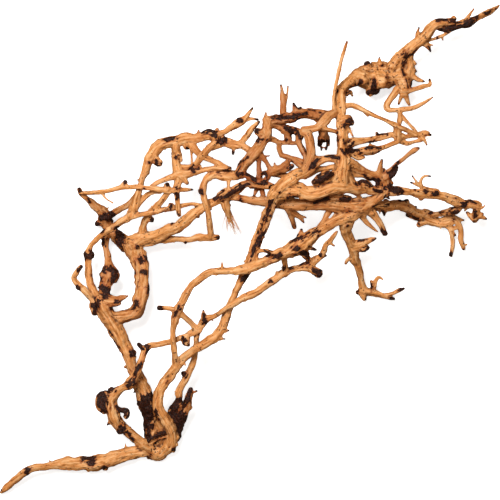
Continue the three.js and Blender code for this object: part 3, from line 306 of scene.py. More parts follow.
    [[334.3,113,62,2.2],[333.8,102,58,1.7],[334.5,92,55,1.6],[336.5,82,52,1.6],[339,71,50,1.6],[342,58,50,1.5],
     [345,48,52,1.4],[347.3,41.5,54,1.1]],
  ],
  "thin_branch": [
    [[343,107,55,2.6],[350,105.2,56,2.3],[357,107,57,2.2],[364,110.5,58,2],[374,115.3,58,1.9],[384,119.8,57,1.9],
     [393,124.3,56,2.3],[401,127.8,54,2.3],[409,131.3,50,2],[416,134.5,47,2.2]],
    [[362,110.5,58,1.2],[368,116.5,57,0.8]],
  ],
  "bundle_upper": [
    [[346,146,68,5],[354,142,64,3.8],[363,140.8,61,2.6],[373,139.3,58,2.6],[383,137.3,54,2.7],[391,135,51,3],
     [398,135,49,3.8],[406,136.5,47,2.2],[414,135.5,46,2.1],[421,134.5,45,2.3],[427,134,45,1.8],[431,135,45,1.2]],
    [[390,134,51,2],[383,135,53,1.8],[378,135.6,54,1.7],[376.5,132.8,55,1.4]],
    [[397,127,53,3],[397.5,134,50,4.2],[398,141,48,3.2]], [[422,137,45,1.8],[425,141,45,1.3],[426.8,145,45,0.9]],
    [[420,134,45,1.8],[425,131.7,45,1.4],[429,132.5,45,1]],
    [[399,141,47,2.4],[407,143.5,45,1.9],[414,141.8,44,1.5],[421,140,44,1.8]],
  ],
  "bundle_lower": [
    [[344,152,68,5],[352,152.5,64,4.2],[360,151.3,61,3.4],[368,150.5,59,4.3],[375,150,57,4.2],[381,148,56,2.4],
     [388,145.5,54,2],[397,142,50,2]], [[352,154,65,3],[358,157.5,64,2.4],[364,157,63,1.6]],
  ],

  # The crown limbs
  "bark_limb": [
    [[342,160,76,6],[333,158.5,77,3.8],[325,159,78,4],[318,161.5,79,4.3],[312,166.5,80,4.2],[304,172,80,5.5],
     [297,175,81,6.3],[290,180,81,6.3],[283,185.5,80,6.3],[277,191,78,6.3],[272,197,76,5.5]],
    [[304,175,78,4],[311,172.5,76,3.4],[319,169.5,74,2.8],[327,168.5,73,2.4],[337,166.5,74,3]],
    [[317,162,79,3.6],[318,157.5,79,2.4]],
  ],
  "crown_limb": [
    [[278,194,76,6],[287,191,77,7],[297,190,78,7.4],[307,193.5,78,6.4],[316,193,78,6.6],[325,190,78,6.8],
     [334,187,77,6.5],[344,187.5,74,6],[354,188.5,70,5.3],[364,188.5,65,4.8],[373,190,61,4.3],[382,190.5,57,4]],
    [[330,184,78,4],[337,177,78,4.6]], [[313.5,182.5,82,2.8],[319,180,83,5],[326,176.5,83,5.4],[333,174,80,3.6]],
    [[352,187,70,3.4],[358,184,68,2.4],[363,181.6,67,2.3],[368,182.8,65,2.2],[371.5,187,62,2.2]],
  ],
  "roof_limb": [
    [[346,162,75,6],[352,164.5,72,5],[359,168.5,68,4],[366,172,65,3],[373,174.5,62,2.8],[380,176,60,4],
     [385,179,58,5.2],[387,187,56,5],[384,194,56,4.6]],
    [[350,168,71,3],[354,174.5,68,2.4],[363,176,64,1.8],[373,176.5,61,2]],
    [[364,176,63,1.6],[368,179,61,1.3],[374,179.6,59,1.4],[378,181.4,58,2.4],[378,186,57,2.4]],
    [[380,174,61,3],[380,168,64,2.1],[382,160,68,1.2]],
    [[385,177,60,4.5],[391,173,61,3.6],[395,169.5,62,2.4],[397,167,63,1.4]],
    [[386,173,62,2],[393,167,65,1.6],[401,160.5,69,1.6],[409,154,73,1.9],[415,150,76,2.2],[419,148,78,1.2]],
    [[384,174,61,2],[383.8,169,62,1.4]], [[388,183,57,4],[392,183.5,57,2]],
  ],
  "lower_limb": [
    [[226,197,52,3.6],[240,198.5,56,4],[250,200.5,58,4.2],[260,201.3,60,4.3],[270,202,61,4.5],[280,203,62,5],
     [290,204,64,5.3],[300,203.5,65,5.3],[312,204,65,5.2],[325,205,64,5.5],[337,206.5,62,6],[348,208.5,60,6.5],
     [356,209.5,58,7.5]], [[289,207,62,4.6],[290.5,213,57,2.9],[292.5,220,52,2.3],[294.5,227.5,47,1.9]],
    [[291,211,59,3],[297,215,55,2.4],[301,218.5,53,1.9],[303.8,222.5,52,0.9]], [[297,215,55,1.8],[306,217.5,54,0.8]],
    [[330,210,59,3.4],[326,216,60,2.5],[323,221.5,61,2.2],[320,227,62,3]],
    [[339,211,60,3],[334,217,60,2],[331,221,61,2.2]],
    [[336,202,62,3],[344,202.5,61,3],[352,201.5,60,3.5],[359,200,59,3.4]],
    [[318,199.4,69,2.4],[326,198,69,2.6],[334,197.3,68,2.7],[342,197.3,67,2.7],[350,199,64,2.8]],
  ],
  "star_joint": [
    [[350,208,60,6],[357,208,58,8],[364,206,57,8],[370,203,56,6.4],[377,198,56,4.8],[383,193.5,56,4.4]],
    [[362,207,57,6],[368.4,210.4,54,4.6],[374.4,216.4,51,3.4],[379.4,222.6,48,3.1],[382.8,228.8,45,2.8],
     [385,234,43,2.4]],
    [[360,213,56,4.6],[364.2,219.6,53,2.8],[369.4,225,51,1.8],[374.6,229.6,49,1.3],[378,232,48,0.8]],
    [[355,192,66,3],[359.5,196.5,62,1.8],[363,202,59,2]],
  ],

  # The root that runs down to the left from the star joint
  "long_branch": [
    [[356,211,58,7],[349,215,59,6.4],[341,219,60,5.2],[333,223,61,4.6],[325,227.5,62,4.6],[318,232,63,5.2],
     [312,236,64,6.5],[306,240.5,65,8],[299,245.5,66,8.3],[291,249.5,67,7.5],[283,253.5,68,6],[270,259.5,68,5],
     [260,263.5,68,4.6],[247,268.5,68,4.3],[235,271,67,3.9]], [[300,236,67,2.6],[301.5,229.5,68,1.2]],
    [[309,248,63,2],[316,250,62,1.2]],
    [[257,262.5,68,2.4],[256,257,70,1.8],[258,251.5,71,1.8],[265,250.5,72,1.8],[273,253,72,1.8],[281,249.5,73,2.2],
     [286,252,70,2.6]], [[302,250,62,5],[306,255,60,3.6]],
  ],
  "lower_branch": [
    [[235,271,67,3.9],[220,271.5,64,3.6],[210,272,62,4],[203,276,60,3.6],[196,282,58,3.4],[190,288,56,3.5],
     [186,295,55,3.6],[182,303,54,3.6],[178,311,53,4.3],[175.5,318,52,4],[173.5,328,50,3.1],[173,340,49,2.9],
     [174,352,46,3],[176,363,40,3.4]], [[177,311,53,2.8],[171,309,54,2.5],[165,308,55,2.3],[159,308,56,2.5]],
    [[222,269,65,1.6],[222,262.5,66,0.9]],
  ],
  "bridge_branch": [
    [[190,334,40,3.2],[198,330,40,3.8],[202,325,42,3.6],[205,320,45,3.8],[215,316,50,2.3],[222,311,56,2.4],
     [230,306,59,2.8],[240,299.8,60,3.2],[250,295.5,59,3.3],[260,290.3,57,3.2],[268,284,54,3.6],[275,279,52,3.6],
     [283,273,50,4],[290,270.3,50,3.3],[300,267.5,50,3.8],[308,266.5,50,4.8]],
    [[181,314,52,2.5],[187,319,48,2.3],[192,324,44,2.3],[197,330,41,2.8]],
    [[204,321,45.5,3.8],[203.6,316,47,2.5],[203.3,310.4,48,0.8]], [[201,322,45,2.4],[207.5,318.5,46,2]],
    [[283,256,63,3],[285,264,57,2.6],[285,271,51,2.8]],
    [[308,266.5,50,4.8],[313,262,51,4],[319,257.5,53,2.7],[324,251,55,2.6],[326,245,58,2.4],[330,241,60,2.4],
     [333,237,62,2.3],[337,231.5,64,1.3]], [[309,267.5,50,4.2],[314,271,51,3.8],[319.5,273.5,51,3.8]],
    [[304,256,58,2.4],[308,259,55,2.4],[312,262.5,52,2.6]], [[320,258,53,1.8],[326.5,255.5,53,1]],
    [[330,243,60,1.4],[334.5,246,60,1]],
  ],

  # The right side
  "foot_limb": [
    [[347,216,57,7],[345.5,224,54,6.5],[346,230.5,49,5.6],[348.5,237,43,4.8],[351,243,38,5],[353,250,32,5.2],
     [354.5,257,26,5],[357,264,20,4],[359.3,271,15,3.4],[361,279,10,3.1],[362.5,286,6,3.5],[364,292,3.4,4.6]],
    [[353,245,37,5],[360,243.5,37,4],[366,241.5,38,3],[372,239.5,39,1.9],[376,238.3,40,0.9]],
    [[357,247,35,3.8],[363,248.8,35,3],[367.5,247.5,35,2.2]],
    [[353,257,27,2.4],[347.5,260,28,1.6],[345.5,263.5,28,1.2]],
  ],
  "foot": [
    [[362,291,4.4,4.2],[370,292.5,4,3.7],[377,293.8,4,3.3],[384,295.6,4,2.6],[390,297.5,4,1.9],[394.5,299,3.5,1.1]],
    [[386,294.8,5,2],[393,293.5,7,2],[399,290.5,9,1.9],[404,288.5,11,1.2]], [[362,291,4,3],[357,292.5,4,1.8]],
    [[363,294,4,3.4],[364.5,299.5,3.4,1.8]],
    [[373,292,5,2.4],[374.5,284,9,1.9],[376.5,279.5,11,1.7],[379,277.3,12,1.5],[383,279.5,13,0.9]],
    [[372.5,290,6,1.9],[371.3,281,10,1.4]],
  ],
  "right_arm": [
    [[384,190,56,5],[391,191.5,55,4.6],[398,191.4,53,4.4],[405,191.3,51,4.1],[412,192.3,48,3.8],[420,194,46,4.2],
     [428,194.3,44,3.8],[436,194.8,42,3.8],[444,196.2,40,4.2],[451,198.8,38,4.8],[458,202,36,5],[465,204,34,4.2],
     [471,204,32,3.6],[477,206,30,3.4]], [[421,195,45,3.4],[421,199,44,2.2]],
    [[438,191.5,43,2.2],[430,189.5,45,1.7],[424,187.8,47,1.6],[419,185.5,49,1.5],[410.5,182.3,52,0.9]],
    [[419,185.8,49,1.4],[416,181,52,1.2],[412.2,175.8,54,1]],
    [[422,187,48,1.6],[420.8,182,50,1.5],[422,178.5,52,1.4],[425.5,176,54,1.2],[430.5,176.3,55,0.9]],
    [[470,203,32,2.6],[477,202.5,31,2],[481.5,205,30,1.2]], [[467,207,32,2],[464.8,211,31,0.9]],
    [[477,206,30,3.4],[476,212,28,3.4],[475,218,25,3.4],[474,221.5,24,1.8]],
    [[474,219,25,3],[470,216,25,2.4],[467,212.5,26,1.4]], [[476,217,26,3],[481,217,26,2.4],[486.5,219,26,1]],
    [[478,215,27,2.4],[482.5,214,28,1.4]], [[478.5,208,30,1.6],[482,208,31,1.1],[484.8,205.5,32,0.8]],
  ],
  "lower_arm": [
    [[368,203.5,52,5],[374,204.5,46,4.6],[382,206.5,40,4.6],[389,206.5,35,5],[396,205,29,4.8],[402,205.5,24,5],
     [408,208,18,4.8],[414,212,12,5],[420,215,6.6,5],[427,218.5,4,5.4],[434,221,4.2,4.8],[441,223,7,4.2],
     [447,223.5,9,3.6],[452,221,11,3.2]], [[384,208,38,3.4],[384.3,215.5,36,0.9]],
    [[403,204,24,3.6],[407,201.5,23,2.8]], [[420,217.5,8,3],[413,216.5,9,2.4],[407,214.5,10,1.8]],
    [[426,221,5,3.5],[421,223,5,3],[418,225.5,5,2]], [[387,203,37,3],[385,200.5,38,2]],
  ],
  "claw": [
    [[425,213,8,4],[432,214.8,9,3],[438,214.3,12,2.5],[444,212.8,17,2.8],[450,211.5,22,3.5],[455,210.5,27,3.8],
     [460,208,31,2.6]], [[427,212,9,3],[424,209.5,10,1.2]],
  ],
  "claw_toes": [
    [[441,221,8,2.6],[448,217.5,11,3],[454,218,12,3],[457,222,11,2.8],[460,227,10,2.4],[461,233,8,2.2],
     [460.5,239,7,2.2],[462,244,5.5,2],[463.5,249,4,1.6]],
    [[447,226,8,2.8],[450,228.5,8,2.6],[451.5,234,7,2.1],[452.7,240,5,2],[452.5,247,4,1.9],[450.5,255.5,2.2,1.6]],
    [[449,228,8,2.2],[455,228,9,1.8],[459.5,226,10,2]], [[454,218,12,2.6],[464,220.3,12,1]],
    [[451.5,231,8,2],[455.5,235.5,8,1]], [[462,246,5,1.4],[467,244.5,5,0.9]],
  ],
}

# Dark bark that is left on the wood. A stroke is a list of [across, down, radius] on the plan sheet.
BARK_STROKES: dict[str, list[list[list[float]]]] = {
  "long_root": [[[84,459,3.4],[91,460,3.8],[91,463,2.4]], [[105,468,2.7]], [[37,473,1.6]], [[1,492,1.6]]],
  "base_knee": [[[174,450,3.4]], [[149,457,2]]],
  "left_arm": [
    [[102.5,396,5.4],[102,404,6],[104,409.5,3.6]], [[108,391,2.8],[113,388.5,2.8]],
    [[117,407.5,1.8],[121,410,3.4],[127,411,4],[127,415,3.4],[124,418,2.4]], [[122,430,5.2]], [[119,433,3.6]],
    [[129.5,436,1.8],[133,442,1.5]], [[107.5,424.5,1.8]],
  ],
  "arm_strut": [
    [[143,349,2.4],[138.5,344,2.6]], [[128,386,2.6],[132,382,4]], [[135,374,2],[138,368,3],[141,363,2]],
    [[146,347,2.6],[147,353,1.6]], [[184,339,2],[184,344,2],[189,345,1.8]], [[187,343,2.4]],
  ],
  "left_trunk": [
    [[133,353,3.8]], [[93,299,3],[95,306,4.2],[94.5,313,3]], [[98,302,2]], [[111.5,308,2.6]],
    [[139,403,3.6],[145,400,6],[152,397,6.5]], [[146,404,7.5],[147.5,413,7.6],[148,424,5],[147.5,440,4]],
    [[146,442,2.8],[151,439,2.6],[157,435.5,2.3],[162,433,2.2],[168,431,1.8]], [[155,443.5,1.6],[162,441,1.8]],
    [[153,419,1],[156,423,0.9]], [[109,332,0.5],[114.5,341,0.8],[118.5,349,0.9],[122,357,0.6]],
    [[128,372,0.5],[134,384,0.5]],
  ],
  "stump": [
    [[178,401,4],[175,409,6],[172,418,8],[173,428,7]], [[190.5,388,3],[188,396,3.4],[183,406,4]],
    [[182,413,5],[178,424,7.5],[177,434,6]], [[189,400,2]],
  ],
  "inner_root": [[[183,374,3.1]]],
  "rising_root": [[[167,381,1.6]], [[176,362,1.3]], [[155.5,411.5,2],[155.5,415,1.7]], [[158,420,1.3]]],
  "centre_root": [
    [[272,198,1.7],[269,208,1.8],[265.5,218,2],[262.5,228,2.3],[259,238,2.4],[254,250,2.4],[250,262,2.3]],
    [[243,279.5,3.4],[248,276,3]],
  ],
  "long_branch": [
    [[257,257,1.4],[258,251,1.4],[264,250,1.4],[270,253,1.6]], [[266,254.5,2.2],[270,258,3],[279,256,4]],
    [[290,240,2],[295,237.5,3.4],[302,238,3.2]], [[306,236,1.6],[313,233,1.8],[318,231,2.4]], [[318,236,1.4]],
    [[292,250,1.4],[297,249.5,3],[304,253,3.4],[308,256,2.6]], [[302,259,1.6],[307,262.5,2]], [[315,250,1.6]],
    [[294.5,227,1.8]],
  ],
  "lower_branch": [[[160,308,2.8],[157,308,2]], [[178,308,1.8],[174,316,1.8]]],
  "bridge_branch": [
    [[204.5,321,3.8]], [[203.6,313,1.2],[203.8,317,2]], [[314,271,2.8],[320,273.5,4.6]], [[320.5,255.5,1.8]],
    [[332.5,245,1.4]], [[284,268,2],[288,267.5,1]], [[289,268,0.9],[297,265,1],[304,262.5,1.4]], [[271,281.5,1.8]],
  ],
  "loop_limb": [[[86,255,4.4],[92,255,4.4]], [[92,275,0.8]]],
  "elbow_limb": [[[80,269.5,2.4],[81.5,266.5,2.4]], [[77.8,288,3]]],
  "knob_limb": [
    [[103.5,240,2.2],[104,245,2.2]], [[101,272,2.4],[107,269,3],[113,270.5,3.6],[115.5,276,3.2],[112,282,2]],
    [[100.5,273,1.6],[100.5,281,2.2]], [[102,287,3],[107,293,5.2],[104.5,298,4.6]], [[117.5,302,2.8]],
  ],
  "fork_trunk": [
    [[141,256.5,1.8],[141,264,2.2]], [[139,260,1.4],[144,261,1.2]], [[142,272,2.7],[145,273.5,1.6]],
    [[138,282,1.2],[138,287,1.2]], [[149,286,2.2],[149,292,2.2]], [[136.5,239,1.3]],
    [[136,303,2.6],[134.5,308,3],[127,310,2.2]], [[120,246,1.8]],
  ],
  "low_knuckle": [
    [[79.5,189,2.4],[81.5,193.5,2.4]], [[89,201,1.2]], [[108,214,1.8],[111.5,213,3.2],[112.5,218,2.8]],
    [[101.5,217.5,2.8],[110,218,3.4]], [[96,224,3.4]], [[99,229,2.2],[103,231,2.2]],
    [[118,229,3.8],[120,234,4.8],[119,241,4.2]], [[120,244,2],[121,250,1.8]],
  ],
  "long_twig": [[[125,182.5,2.6]], [[166.5,184.5,2.2]], [[192,189.5,1.6]]],
  "cross_limb": [[[175.5,193,2.2],[179,197,2]], [[176,199,1.6]], [[178.5,214,2]]],
  "arch": [
    [[166,140.5,2],[170,139,2.6],[174,138,1.6]], [[156.5,160,2],[158,164.5,2.2],[162,164.5,1.6],[163,160.5,1.2]],
    [[187.5,148.5,1.8]], [[204,132,2.2],[209,130,3],[214,133,3.4],[216,138,2.4]], [[137.5,180,1.1]],
  ],
  "side_twigs": [[[170.5,206,2.8]], [[152.5,219.5,2.8]]],
  "hanging_limb": [[[175.5,156,2.5]], [[193,168.5,2.8]], [[199,167.5,1]], [[177,189,1.6]]],
  "top_fork": [[[221,141,3.6],[225,140,4]], [[233.5,153,1.4]], [[259,121.8,1.4]]],
  "top_prong": [[[239,121,1.6],[243,120,2]], [[257.5,119.5,1.4]], [[252.5,108,1.2]]],
  "curved_limb": [
    [[257,129.5,2.8],[257.5,136,2.8]], [[257,140,2],[262,139.5,1.6],[266,139.5,0.9]], [[260.5,125.5,1.5]],
    [[247,158,1.2],[238,163.5,1.5],[230,168,1.5],[221,172,1.2],[213,172,1]], [[237.5,172.5,2.2],[242.5,174,2]],
  ],
  "left_limb": [
    [[248,184,2],[238,189.5,2.4],[230,194,2.8],[221,199,2.2]], [[213,194,1.2],[219,191,1.6],[225,190,1.2]],
    [[201,192,2.6]],
  ],
  "lower_fork": [[[218,237,2.2]], [[185.5,243.5,1.2]]],
  "dark_limb": [
    [[274,116.5,1.8],[280,118,3.2],[288,119,3.4],[293,118.5,2.8]], [[294,115,1.8],[301,114,1.2],[308,113.5,1.3]],
    [[294,119.5,1.5],[302,118,1]], [[293.5,104,1.2],[299,108,1.3]], [[308,110.3,0.8],[320,111.5,0.9]],
  ],
  "lattice": [
    [[286,128,2.6],[291,132,4]], [[295,131,1.8],[299.5,134,3.4],[300,138,1.8]], [[286.5,139.5,1.9]],
    [[304.5,147,1.4],[305.5,153,1.6]],
  ],
  "ragged_cup": [[[319,143,3.6],[323,141.5,2.8],[328.5,143.5,3]], [[321,148.5,2.6]], [[327,147,1.8]]],
  "bark_limb": [
    [[309,170,1.4],[313,165,2.8],[317,161,3.4],[321,158.5,2.2]], [[325,157,1.4],[333,156.5,1.8],[339,157.5,2.2]],
  ],
  "crown_limb": [
    [[315,181.5,3],[320,179.5,5],[327,176,5.4],[332,174,3]], [[366,175.3,1.2]],
    [[367,179.5,1.2],[373,179,1.7],[379,180,1.5]], [[358,183.4,1.8],[363,181.4,3],[368,182.6,2.8],[371,186.4,2]],
    [[344,198,2],[349,199.5,2.6]], [[283,202,0.7]], [[279,193.5,0.8]], [[318,178,1]],
  ],
  "stub_limb": [[[287,168,1.4],[291,163.5,1.5]], [[290,169.5,1.4],[293,166,1.4]]],
  "dark_tangle": [
    [[252,186.5,1.8],[258,184.5,2.4],[264,182.5,2.8],[268,187,2.2]], [[262,174,1.8],[267,173,2],[267.5,178,1.8]],
    [[246,174,1.4],[252,177,1.8],[256,180.5,1.8]], [[258.5,160,1]],
  ],
  "column": [
    [[343.5,127,1.4],[346,121,2.4],[350,122,4],[351.5,125,3]], [[338,129,0.9],[338,140,0.9]], [[337,91,1.7]],
    [[346,142,2],[351,141.5,2.2],[349,146,1.8]], [[343,151,3],[350,151,4],[357,151.5,3]],
    [[359,153,2.2],[364,151,1.8]],
  ],
  "head": [
    [[347,93,1],[352,89,1],[358,85,1.2],[361,82,2.8]], [[366,63.5,2.4],[370,62,1.8]], [[382,65.7,1.3]],
    [[389,69,1.3]], [[386,77.5,1.4]], [[390,83,1.1]], [[397,83.2,1.1]], [[393,65,0.8]], [[396,65,0.8]],
    [[374.5,80.5,2.4],[374,86,3.2],[373.5,91,3.8],[381,92,2.2]], [[368.6,92.6,3]], [[402,70,1.8],[404,75,1.6]],
    [[406,79,0.9],[408,88,1.1]], [[379.3,57.5,1.1]], [[429,80,1.5]],
  ],
  "arm_strut_right": [
    [[409,79,0.7]], [[411.5,83,1.5],[411,87,1.5]], [[424.5,81.5,1]], [[416.5,71.5,1.2]],
    [[403.5,60.5,2],[403,65,1.2]],
  ],
  "long_arm": [
    [[437,20.5,0.9],[447,20,1]], [[451,21,1.8],[455,20.5,3]], [[404,57,2],[412,53,1.4],[418,48.5,1]],
    [[429,47,1.2],[430,51,1]],
  ],
  "arm_tip": [
    [[440,29,2.2],[452,29,3.2],[462,25.5,4.2],[472,22,4.4]], [[474.5,18.5,1.6],[480,15.8,1.2]],
    [[485,14.5,1.1],[492,12.5,1.4]], [[482,18,0.8]], [[474,9.5,1]], [[437.5,37.5,1.4]], [[438,31.5,1.2]],
  ],
  "head_fork": [[[398.5,104,1]], [[433,97,1.1]]],
  "bundle": [
    [[377,134,1.8],[382,135,1.4],[388,134,0.9]], [[365,149,2],[372,147,1.4],[379,148,1.9],[379,151.5,1.3]],
    [[365,143,0.8],[375,140.5,0.9]], [[431,135,1.1]], [[397,127.5,1]],
  ],
  "lower_limb": [
    [[290,196.3,1],[295,196,1.6],[301,196.6,1]], [[316,201,1.8],[322,199.5,2.8],[328,197,1.6]],
    [[340,198.5,1.6],[345,200,2.8],[349,201,1.8]], [[346,229.5,2]], [[338,220.5,1.6]], [[320,227,2]],
    [[303.8,222.5,1]], [[346.5,212,1.1]], [[350,211,0.9]], [[355,212.5,1.2]], [[241,199,1]], [[360,213,1.2]],
    [[346,218,1]], [[316,205.5,0.8]], [[333,219,1.4]],
  ],
  "star_joint": [
    [[373.5,206.4,1.4],[381,206,1.9],[389,204.8,1.8]], [[383,212.5,2.4]], [[382.5,231,2.8],[385.5,235,2.8]],
  ],
  "right_arm": [
    [[390,187.5,2.6],[394.5,190.5,4],[400,190.5,3.6]], [[390,175.4,2.4],[393,172,3.2],[396.5,169,2.4]],
    [[276,191,0.8]], [[280,193.6,0.9]], [[290,196.4,1],[297,196.8,1.2]],
    [[364.5,175.4,1.7],[368,179,1.7],[374,179.6,1.9],[377.6,181.4,2.4],[377,186,2.2]],
    [[383,186.5,1.4],[386,187.5,1.6]], [[373,188.6,1.2],[378,191.5,2.2],[382,190,1.2]], [[383.7,170,1.6]],
    [[382.7,161.5,1.4]], [[432,193.3,1.3],[437.5,193,1.4]], [[415,191,0.6],[427,191,0.6]], [[445,194.5,1.2]],
    [[455.5,198.5,1.2]], [[464.5,204.5,2.6]], [[466,201,1.2],[471,201,1.4],[477,203,1]],
    [[475.5,211,1.9],[475,217,1.8]], [[474.5,222,1.9]], [[391.5,183.5,1.3]],
  ],
  "lower_arm": [
    [[401,200,0.8],[408,200.5,1.1]], [[408,215.3,1.5],[418,218.6,1.6]], [[427,212,1.3],[432,213,1]], [[419,224,1.2]],
  ],
  "claw": [
    [[441,212.3,0.9],[449,212,1.5],[453,211.5,3],[457.5,211,2.2]], [[453.2,219.5,1.1]],
    [[451,253.5,1.8],[450.5,256,1.8]], [[463.5,249.5,1.7]],
  ],
  "foot_limb": [
    [[362.5,249,2],[365,251,2],[368,248,2.4]], [[358,240.6,0.9],[366,239.4,0.8]], [[373,240,0.9]], [[346,263,1.4]],
  ],
  "foot": [
    [[371.5,281,1.6],[372,288,1.2]], [[362,297,1.4],[365.5,299,1.6]], [[391,298,1.8],[395,299,1.2]],
    [[398,290.5,1.2],[404,288.5,1.4]], [[357,292.5,1.4]], [[383,279.5,1]],
  ],
}
class Finish(Enum):
    """A finish name that a group of limbs is labelled with; no piece takes its material from it."""

    HONEY = "honey_wood"
    AMBER = "amber_wood"
    BARK = "bark"


@dataclass(frozen=True)
class PlanSheet:
    """The sheet on the table that the limbs are plotted on, read by an eye straight above its middle."""

    side: float = 500.0
    eye_height: float = 2200.0
    shift: tuple[float, float] = (0.65, -0.45)

    def place(self, points: np.ndarray) -> np.ndarray:
        """Places in space of points of the sheet: both plan distances shrink towards the eye's axis with height.

        Args:
            points: rows of across, down and height.

        Returns:
            Rows of x, y and z in millimetres.
        """
        points = np.asarray(points, float)
        shrink = (self.eye_height - points[:, 2]) / self.eye_height
        return np.column_stack([
            (points[:, 0] - self.side / 2) * shrink + self.shift[0],
            (self.side / 2 - points[:, 1]) * shrink + self.shift[1],
            points[:, 2],
        ])

    def across_down(self, places: np.ndarray) -> np.ndarray:
        """The sheet's across and down of places in space: the inverse of place."""
        shrink = (self.eye_height - places[:, 2]) / self.eye_height
        return np.column_stack([
            (places[:, 0] - self.shift[0]) / shrink + self.side / 2,
            self.side / 2 - (places[:, 1] - self.shift[1]) / shrink,
        ])


SHEET = PlanSheet()


def soft_step(low: float, high: float, value: np.ndarray) -> np.ndarray:
    """Rises from 0 at low to 1 at high, with level ends: 3t^2 - 2t^3 of the share t of the way."""
    t = np.clip((value - low) / (high - low), 0.0, 1.0)
    return t * t * (3.0 - 2.0 * t)


# Large primes that scatter a lattice corner's three numbers, then shifts and primes that stir the bits
CORNER_PRIMES = (73856093, 19349663, 83492791)
SEED_PRIME = 2654435761
STIRS = ((15, 739982445), (12, 695872825))
WORD = 0xFFFFFFFF


def lattice_value(cell: np.ndarray, seed: int) -> np.ndarray:
    """A random value from -1 to 1 for each row of three whole numbers, from the low 16 bits of the stirred mix."""
    mixed = cell[:, 0] * CORNER_PRIMES[0] ^ cell[:, 1] * CORNER_PRIMES[1] ^ cell[:, 2] * CORNER_PRIMES[2]
    mixed = (mixed ^ seed * SEED_PRIME) & WORD
    for shift, prime in STIRS:
        mixed = (mixed ^ mixed >> shift) * prime & WORD
    return (mixed ^ mixed >> 15 & 0xFFFF) % 65536 / 32767.5 - 1.0


def cloudy(places: np.ndarray, size: float, seed: int, layers: int = 1) -> np.ndarray:
    """Smooth random values from -1 to 1: a random number at each lattice corner, eased between corners.

    Args:
        places: rows of three coordinates.
        size: the lattice's step.
        seed: picks the random numbers.
        layers: each further layer has half the step and half the strength.

    Returns:
        One value for each row.
    """
    total = np.zeros(len(places))
    weight, reach = 1.0, 0.0
    for layer in range(layers):
        spot = places / size * 2.0**layer
        base = np.floor(spot)
        share = spot - base
        ease = share * share * (3.0 - 2.0 * share)
        base = base.astype(np.int64)
        value = np.zeros(len(places))
        for corner in range(8):
            step = np.array([corner & 1, corner >> 1 & 1, corner >> 2 & 1])
            value += lattice_value(base + step, seed + layer) * np.prod(np.where(step, ease, 1.0 - ease), axis=1)
        total += weight * value
        reach += weight
        weight *= 0.5
    return total / reach


@dataclass(frozen=True)
class Cloud:
    """Smooth random values of one strength and size, drawn out along the limb where stretch is under 1."""

    strength: float
    size: float
    seed: int
    layers: int = 1
    stretch: float = 1.0

    def at(self, places: np.ndarray) -> np.ndarray:
        """The values at rows of places, whose third number is the one along the limb."""
        return self.strength * cloudy(places * [1.0, 1.0, self.stretch], self.size, self.seed, self.layers)


def tube_faces(rings: int, sides: int) -> tuple[np.ndarray, np.ndarray]:
    """The faces of a closed tube whose two end corners come after the corners of its rings.

    Args:
        rings: how many rings the tube has.
        sides: how many corners a ring has.

    Returns:
        Four-sided faces round the tube and three-sided faces at its ends.
    """
    ring, side = np.meshgrid(np.arange(rings - 1), np.arange(sides), indexing="ij")
    here, turn = ring * sides + side, ring * sides + (side + 1) % sides
    quads = np.stack([here, turn, turn + sides, here + sides], axis=-1).reshape(-1, 4)
    k = np.arange(sides)
    top, ends = (rings - 1) * sides, rings * sides
    low = np.column_stack([np.full(sides, ends), (k + 1) % sides, k])
    high = np.column_stack([np.full(sides, ends + 1), top + k, top + (k + 1) % sides])
    return quads, np.vstack([low, high])


def repeated(faces: np.ndarray, count: int, each: int) -> np.ndarray:
    """The same faces for count bodies one after another, where each body has the same number of corners."""
    return (faces[None] + np.arange(count)[:, None, None] * each).reshape(-1, faces.shape[1])


def unit(rows: np.ndarray) -> np.ndarray:
    """Each row divided by its own length."""
    return rows / np.maximum(np.linalg.norm(rows, axis=1, keepdims=True), 1e-12)


# The thinnest that a shoot gets, and how far a frame may lie down before it is stood up afresh
THINNEST = 0.5
LEAST_UP = 0.2


